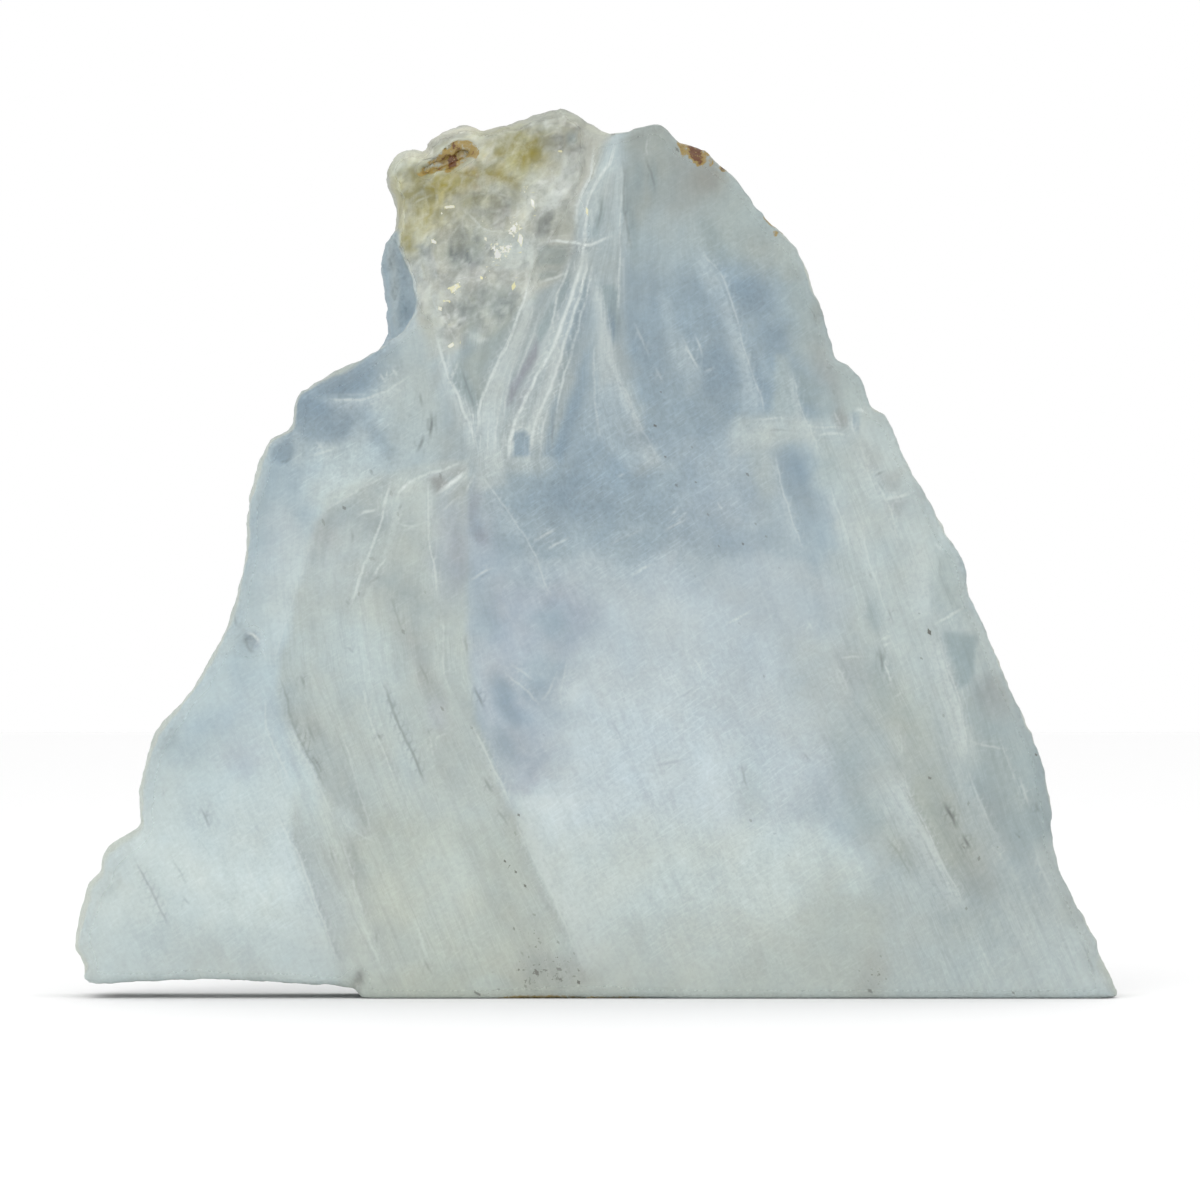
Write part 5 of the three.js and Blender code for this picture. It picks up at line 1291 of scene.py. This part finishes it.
def calc(tree, operation, a, b=0.0, c=0.0, clamp=False):
    made = put(tree, "ShaderNodeMath", {0: a, 1: b, 2: c}, operation=operation)
    made.use_clamp = clamp
    return made.outputs[0]


def ramp(tree, value, low, high, to_low=0.0, to_high=1.0):
    """Smoothly from to_low to to_high as value goes from low to high."""
    inputs = {"Value": value, "From Min": low, "From Max": high, "To Min": to_low, "To Max": to_high}
    return put(tree, "ShaderNodeMapRange", inputs, interpolation_type="SMOOTHSTEP").outputs["Result"]


def mix_colour(tree, amount, a, b, blend="MIX"):
    made = put(tree, "ShaderNodeMix", data_type="RGBA", blend_type=blend)
    for socket, value in ((made.inputs[0], amount), (made.inputs[6], a), (made.inputs[7], b)):
        if isinstance(value, bpy.types.NodeSocket):
            tree.links.new(value, socket)
        elif isinstance(value, tuple) and len(value) == 3:
            socket.default_value = (*value, 1)
        else:
            socket.default_value = value
    return made.outputs[2]


def scaled(tree, vector, amount):
    return put(tree, "ShaderNodeVectorMath", {0: vector, "Scale": amount}, operation="SCALE").outputs[0]


def attribute(tree, name):
    return put(tree, "ShaderNodeAttribute", attribute_name=name).outputs["Vector"]


def split(tree, vector):
    return put(tree, "ShaderNodeSeparateXYZ", {0: vector}).outputs


def speckle(tree, place, scale, detail=3.0, roughness=0.6):
    inputs = {"Vector": place, "Scale": scale, "Detail": detail, "Roughness": roughness}
    return put(tree, "ShaderNodeTexNoise", inputs).outputs["Fac"]


def new_group(name, inputs, outputs):
    """A shader node group; each input is (name, kind, default) and each output (name, kind)."""
    tree = bpy.data.node_groups.new(name, "ShaderNodeTree")
    for label, kind, default in inputs:
        socket = tree.interface.new_socket(label, in_out="INPUT", socket_type=kind)
        if default is not None:
            socket.default_value = default
    for label, kind in outputs:
        tree.interface.new_socket(label, in_out="OUTPUT", socket_type=kind)
    return tree, tree.nodes.new("NodeGroupInput").outputs, tree.nodes.new("NodeGroupOutput").inputs


def use(tree, group, inputs=None):
    made = tree.nodes.new("ShaderNodeGroup")
    made.node_tree = group
    for key, value in (inputs or {}).items():
        if isinstance(value, bpy.types.NodeSocket):
            tree.links.new(value, made.inputs[key])
        else:
            made.inputs[key].default_value = value
    return made.outputs


NUMBER, VECTOR = "NodeSocketFloat", "NodeSocketVector"


def streaks_group():
    """Long fine fibres: Grain is the place across the grain, along it, and through the depth."""
    tree, given, result = new_group(
        "Fibre streaks",
        [("Grain", VECTOR, None), ("Width", NUMBER, 1.0), ("Length", NUMBER, 20.0), ("Seed", NUMBER, 0.0)],
        [("Streaks", NUMBER)],
    )
    grain = split(tree, given["Grain"])
    place = {
        0: calc(tree, "DIVIDE", grain["X"], given["Width"]),
        1: calc(tree, "DIVIDE", grain["Y"], given["Length"]),
        2: calc(tree, "MULTIPLY_ADD", grain["Z"], 0.15, given["Seed"]),
    }
    where = put(tree, "ShaderNodeCombineXYZ", place).outputs[0]
    tree.links.new(speckle(tree, where, 1.0, 3.0, 0.65), result["Streaks"])
    return tree


def scratch_group():
    """Short straight scratches in one direction, 0 to 1."""
    tree, given, result = new_group(
        "Short scratches",
        [("Place", VECTOR, None), ("Lean", NUMBER, 22.0), ("Width", NUMBER, 0.4), ("Length", NUMBER, 5.0),
         ("Seed", NUMBER, 0.0)],
        [("Scratches", NUMBER)],
    )
    angle = calc(tree, "RADIANS", given["Lean"])
    c, s = calc(tree, "COSINE", angle), calc(tree, "SINE", angle)
    parts = split(tree, given["Place"])
    across = calc(tree, "ADD", calc(tree, "MULTIPLY", parts["X"], c), calc(tree, "MULTIPLY", parts["Z"], s))
    along = calc(tree, "SUBTRACT", calc(tree, "MULTIPLY", parts["Z"], c),
                 calc(tree, "MULTIPLY", parts["X"], s))
    place = {
        0: calc(tree, "DIVIDE", across, given["Width"]),
        1: calc(tree, "DIVIDE", along, given["Length"]),
        2: calc(tree, "MULTIPLY_ADD", parts["Y"], 0.15, given["Seed"]),
    }
    where = put(tree, "ShaderNodeCombineXYZ", place).outputs[0]
    tree.links.new(ramp(tree, speckle(tree, where, 1.0, 0.0), 0.62, 0.74), result["Scratches"])
    return tree


def line_group():
    """A hairline; Line is the offset from its middle, its strength (below 0 if dark) and its half width."""
    tree, given, result = new_group("Hairline", [("Line", VECTOR, None)], [("Line", NUMBER)])
    parts = split(tree, given["Line"])
    away = calc(tree, "ABSOLUTE", parts["X"])
    hair = ramp(tree, away, 0.0, parts["Z"], 1.0, 0.0)
    tree.links.new(calc(tree, "MULTIPLY", hair, parts["Y"]), result["Line"])
    return tree


def spot_group():
    """Small irregular spots of dirt, and painted glints; Spot holds the offset from the spot's middle and its
    strength.
    """
    inputs = [("Spot", VECTOR, None), ("Ragged", NUMBER, 0.5)]
    tree, given, result = new_group("Specks and glints", inputs, [("Speck and glint", NUMBER)])
    parts = split(tree, given["Spot"])
    away = calc(tree, "MAXIMUM", calc(tree, "ABSOLUTE", parts["X"]), calc(tree, "ABSOLUTE", parts["Y"]))
    edge = calc(tree, "MULTIPLY_ADD", given["Ragged"], 1.6, away)
    shape = ramp(tree, edge, 1.55, 1.95, 1.0, 0.0)
    tree.links.new(calc(tree, "MULTIPLY", shape, parts["Z"]), result["Speck and glint"])
    return tree


STREAKS = streaks_group()
SCRATCHES = scratch_group()
HAIRLINE = line_group()
SPOT = spot_group()


def new_material(name):
    material = bpy.data.materials.new(name)
    material.use_nodes = True
    tree = material.node_tree
    tree.nodes.clear()
    output = tree.nodes.new("ShaderNodeOutputMaterial")
    shader = tree.nodes.new("ShaderNodeBsdfPrincipled")
    tree.links.new(shader.outputs[0], output.inputs["Surface"])
    return material, tree, shader, output


def selenite_material(line_sets, spots):
    material, tree, shader, output = new_material("selenite crystal")
    place = scaled(tree, put(tree, "ShaderNodeTexCoord").outputs["Object"], 1 / MM)
    grain_place = attribute(tree, "grain")
    rough, fibrous, hatched = split(tree, attribute(tree, "finish"))

    def streaks(width, length, seed):
        inputs = {"Grain": grain_place, "Width": width, "Length": length, "Seed": seed}
        return use(tree, STREAKS, inputs)["Streaks"]

    def scratches(lean, width, length, seed):
        inputs = {"Place": place, "Lean": lean, "Width": width, "Length": length, "Seed": seed}
        return use(tree, SCRATCHES, inputs)["Scratches"]

    def centred(value, amount):
        return calc(tree, "MULTIPLY_ADD", value, amount, -0.5 * amount)

    def total(*values):
        out = values[0]
        for value in values[1:]:
            out = calc(tree, "ADD", out, value)
        return out

    # fibres, frost, scratches and cracks shade the crystal
    fibres = streaks(2.2, 26.0, 3.0)
    mottle = speckle(tree, place, 0.75, 3.0, 0.75)
    hair = ramp(tree, calc(tree, "ABSOLUTE", calc(tree, "SUBTRACT", fibres, 0.5)), 0.0, 0.03, 0.08, 0.0)
    fibre_shade = calc(tree, "MULTIPLY_ADD", calc(tree, "MULTIPLY_ADD", fibres, 0.3, hair), fibrous, 1.0)
    frost = calc(tree, "MULTIPLY", centred(mottle, 0.5), calc(tree, "ADD", hatched, 0.25))
    cuts = calc(tree, "MULTIPLY", scratches(-56.0, 0.5, 5.0, 17.0), calc(tree, "MULTIPLY", hatched, 0.12))
    # the first also carries painted highlights on the facet ridges; the second holds fine dirt and, below 0,
    # painted glitter
    sheets, dust_and_glitter, stained = split(tree, attribute(tree, "veil"))
    lines = total(*[
        use(tree, HAIRLINE, {"Line": attribute(tree, f"line_{i + 1}")})["Line"]
        for i in range(line_sets)
    ])
    dark = calc(tree, "MULTIPLY_ADD", calc(tree, "MINIMUM", sheets, 0.0), 0.6, 1.0)
    dark = calc(tree, "MULTIPLY_ADD", calc(tree, "MINIMUM", lines, 0.0), 0.8, dark)
    shade = calc(tree, "MULTIPLY", total(fibre_shade, frost, cuts, -0.15), calc(tree, "MAXIMUM", dark, 0.12))
    colour = scaled(tree, attribute(tree, "tint"), shade)
    broken = ramp(tree, calc(tree, "ADD", fibres, mottle), 0.75, 1.15, 0.5, 1.2)
    pale = calc(tree, "MULTIPLY", calc(tree, "MAXIMUM", sheets, lines), broken, clamp=True)
    colour = mix_colour(tree, pale, colour, paint(VEIL_WHITE))

    # stains, ragged at their borders
    ragged = calc(tree, "MULTIPLY_ADD", centred(mottle, 2.2), stained, stained)
    colour = mix_colour(tree, ramp(tree, ragged, 0.38, 0.60, 0.0, 0.9), colour, paint(STAIN_BROWN))
    colour = mix_colour(tree, ramp(tree, ragged, 0.80, 1.0), colour, paint(STAIN_DARK))

    # dirt spots, fine dirt, and painted glints and glitter: highlights of small cleavage steps painted into
    # the colour
    specks_and_glints = total(*[
        use(tree, SPOT, {"Spot": attribute(tree, f"spot_{i + 1}"), "Ragged": mottle})["Speck and glint"]
        for i in range(spots)
    ])
    dust_and_glitter = calc(tree, "MULTIPLY_ADD", dust_and_glitter, 0.4, mottle)
    fine_dirt = ramp(tree, dust_and_glitter, 0.88, 0.97, 0.0, 0.7)
    dirt = calc(tree, "MAXIMUM", fine_dirt, calc(tree, "MULTIPLY_ADD", specks_and_glints, 1.3, -0.35), clamp=True)
    colour = mix_colour(tree, dirt, colour, DIRT)
    # painted highlights: glints and glitter painted gold, and white where strongest
    flash = calc(tree, "MULTIPLY_ADD", specks_and_glints, -2.5, ramp(tree, dust_and_glitter, 0.06, 0.13, 2.2, -1.0))
    colour = mix_colour(tree, calc(tree, "MULTIPLY", flash, 1.0, clamp=True), colour, paint(GLINT_GOLD))
    colour = mix_colour(tree, calc(tree, "SUBTRACT", flash, 1.2, clamp=True), colour, GLINT_WHITE)
    tree.links.new(colour, shader.inputs["Base Color"])

    tree.links.new(calc(tree, "MULTIPLY_ADD", centred(mottle, 0.3), rough, rough), shader.inputs["Roughness"])
    pits = speckle(tree, place, 0.6, 1.0, 0.7)
    height = calc(tree, "MULTIPLY", pits, ramp(tree, rough, 0.2, 0.5, 0.04, 1.0))
    pitting = {"Height": height, "Strength": PIT_STRENGTH, "Distance": PIT_DEPTH * MM}
    bump = put(tree, "ShaderNodeBump", pitting)
    tree.links.new(bump.outputs[0], shader.inputs["Normal"])
    shader.inputs["IOR"].default_value = GYPSUM_IOR
    shader.inputs["Transmission Weight"].default_value = CLARITY
    depth_tint = tree.nodes.new("ShaderNodeVolumeAbsorption")
    depth_tint.inputs["Color"].default_value = (*DEPTH_COLOUR, 1)
    depth_tint.inputs["Density"].default_value = DEPTH_DENSITY
    tree.links.new(depth_tint.outputs[0], output.inputs["Volume"])
    return material


BATCH = 4000  # points worked out at a time, to save memory


def broken_surface(f, seed):
    """Height and lightness, 0 to 1, of small tilted facets and lumps, and the ridges between them; the
    lightness is painted light and shade of the tilted facets, and the ridges get painted highlights.
    """
    dice = np.random.default_rng(seed)
    left, right, bottom, top = -75, 15, 185, 285
    count = int((right - left) * (top - bottom) / BREAK_FACET**2)
    seeds = np.stack([dice.uniform(left, right, count), dice.uniform(bottom, top, count)], 1)
    tilts = dice.normal(0, BREAK_TILT, (count, 2))
    levels = dice.uniform(0, 0.5, count)
    height, light, ridge = np.zeros((3, len(f.x)))
    for start in range(0, len(f.x), BATCH):
        batch = slice(start, start + BATCH)
        x, z = f.x[batch], f.z[batch]
        away = (x[:, None] - seeds[:, 0]) ** 2 + 0.6 * (z[:, None] - seeds[:, 1]) ** 2
        nearest = away.argmin(1)
        first, second = np.sqrt(np.partition(away, 1, axis=1)[:, :2]).T
        ridge[batch] = 1 - smooth(0.2, 1.1, second - first)
        light[batch] = levels[nearest] * 2
        step = (x - seeds[nearest, 0]) * tilts[nearest, 0] + (z - seeds[nearest, 1]) * tilts[nearest, 1]
        height[batch] = levels[nearest] + step
    lumps = clouds(f.x, f.z, 13, seed, 3)
    return np.clip(0.45 + 0.3 * height + 0.45 * lumps, 0, 1), light, ridge


def make_slab():
    co, normals, faces = remeshed(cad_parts[SLAB], SKIN_CELL)
    near_face = (co[:, 1] < FRONT + POLISH_SINK) | (co[:, 1] > BACK - POLISH_SINK)
    polished = (np.abs(normals[:, 1]) > FLAT) & near_face
    sawn = (normals[:, 2] < -FLAT) & (co[:, 2] < SAWN_TOP)
    rough = ~(polished | sawn)
    f = Field(co)
    mean = neighbour_mean(faces, len(co))
    polish = (~rough)[:, None].astype(float)
    for _ in range(SOFTEN_STEPS):
        polish = mean(polish)
    co = relaxed(co, mean, 4 * polish * (1 - polish), SOFTEN_STEPS)
    crest = f.area(CREST, 4)
    lift = np.array([noise.fractal(Vector(p) * 0.22, 1.0, 2.1, 4) for p in co])
    relief = np.where(rough, CRUST_RELIEF + (CREST_RELIEF - CRUST_RELIEF) * crest, 0.0)
    co = co + normals * (relief * lift * smooth(0.2, 3.5, f.depth))[:, None]
    hollow = f.hollow()
    co[:, 1] -= HOLLOW_FILL * hollow * np.maximum(co[:, 1] - FRONT - HOLLOW_FLOOR, 0)
    around = mean(mean(hollow[:, None]))
    co = relaxed(co, mean, np.minimum(1.5 * around, 1), HOLLOW_STEPS)
    co[:, 1] += HOLLOW_LUMP * hollow * clouds(f.x, f.z, 2.6, 31)
    broken = f.area(BREAK, 2.5) * smooth(0.3, 0.7, -normals[:, 1])
    height, light, ridge = broken_surface(f, 5)
    co = np.clip(co - normals * (BREAK_DEPTH * broken * height)[:, None], LOW, HIGH)
    (veil, lines), spots = crack_fields(f), spot_sets(f)
    piece = new_piece("slab_crystal", co, faces, selenite_material(len(lines), len(spots)))
    stain, olive = stain_masks(f)
    stain = np.maximum(stain, foot_stain(f, co))
    # fine dirt, less the painted glitter: highlights of small cleavage steps painted into the colour
    dust_and_glitter = dust_strength(f) - painted_glitter_strength(f)
    # the first number also carries painted highlights on the ridges between the facets; the second holds fine
    # dirt and, below 0, painted glitter
    store(piece.data, "veil", np.stack([veil + FACET_RIM_HIGHLIGHT * broken * ridge, dust_and_glitter, stain], 1))
    # painted light and shade: each facet of the break painted lighter or darker, as its tilt would catch the
    # light
    looks = paint_zones(f) * (1 + FACET_SHADE * broken * (light - 0.5))[:, None]
    looks += (np.array(STAIN_OLIVE) - looks) * olive[:, None]
    # painted light, in part: the natural edge painted paler, for its frosted rind and against the shade on
    # its rounded sides
    pale_edge = (EDGE_FROST_AND_LIGHT * rough * (crest < 0.5) * smooth(0.3, 5, f.depth))[:, None]
    looks = looks * (1 - pale_edge) + np.array(LOOK["rim green"]) * pale_edge
    tint = np.array([paint(c) for c in looks])
    store(piece.data, "tint", tint)
    gloss = CRUST_ROUGHNESS + (POLISH_ROUGHNESS - CRUST_ROUGHNESS) * polish[:, 0]
    gloss = gloss + (GLASSY_ROUGHNESS - gloss) * 0.8 * broken
    store(piece.data, "finish", np.stack([gloss, grain_strength(f), hatch_strength(f)], 1))
    across, along = f.grain()
    store(piece.data, "grain", np.stack([across, along, f.depth], 1))
    for name, sets in (("line", lines), ("spot", spots)):
        for i, data in enumerate(sets):
            store(piece.data, f"{name}_{i + 1}", data)
    print("slab", len(co), "points", len(faces), "faces", len(lines), "line sets", len(spots), "spot sets")
    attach(piece, "root")
    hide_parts(SLAB)
    return piece


# ---------- the room ----------
def plain_material(name, colour, roughness):
    material, _, shader, _ = new_material(name)
    shader.inputs["Base Color"].default_value = (*colour, 1)
    shader.inputs["Roughness"].default_value = roughness
    return material


def make_room():
    size = 4.0
    mesh = bpy.data.meshes.new("floor")
    corners = [(-size, -size, 0), (size, -size, 0), (size, size, 0), (-size, size, 0)]
    mesh.from_pydata(corners, [], [(0, 1, 2, 3)])
    mesh.materials.append(plain_material("floor white", (0.97, 0.97, 0.97), 0.8))
    floor = bpy.data.objects.new("floor", mesh)
    bpy.context.scene.collection.objects.link(floor)
    world = bpy.data.worlds.new("soft white room")
    bpy.context.scene.world = world
    world.use_nodes = True
    world.node_tree.nodes["Background"].inputs["Color"].default_value = (1, 1, 1, 1)
    world.node_tree.nodes["Background"].inputs["Strength"].default_value = 1.0
    for name, at, size, power in (("key", (-0.9, -1.3, 1.5), 1.2, 9), ("fill", (1.2, -1.0, 0.8), 1.0, 3)):
        light = bpy.data.lights.new(name, "AREA")
        light.size = size
        light.energy = power
        lamp = bpy.data.objects.new(name, light)
        lamp.location = at
        lamp.rotation_euler = (Vector((0, 0, 0.13)) - Vector(at)).to_track_quat("-Z", "Y").to_euler()
        bpy.context.scene.collection.objects.link(lamp)


def make_camera():
    lens, sensor = 200.0, 36.0
    view_width = 0.36  # the frame's width where the front of the slab stands
    data = bpy.data.cameras.new("camera")
    data.lens = lens
    data.sensor_width = sensor
    camera = bpy.data.objects.new("camera", data)
    camera.location = (0.0015, -0.008 - view_width * lens / sensor, 0.11925)
    camera.rotation_euler = (math.radians(90), 0, 0)
    bpy.context.scene.collection.objects.link(camera)
    bpy.context.scene.camera = camera


scene = bpy.context.scene
scene.view_settings.view_transform = "Standard"
scene.cycles.max_bounces = 4
scene.cycles.transmission_bounces = 3
scene.cycles.diffuse_bounces = 1
scene.cycles.glossy_bounces = 2
make_room()
make_camera()
make_slab()
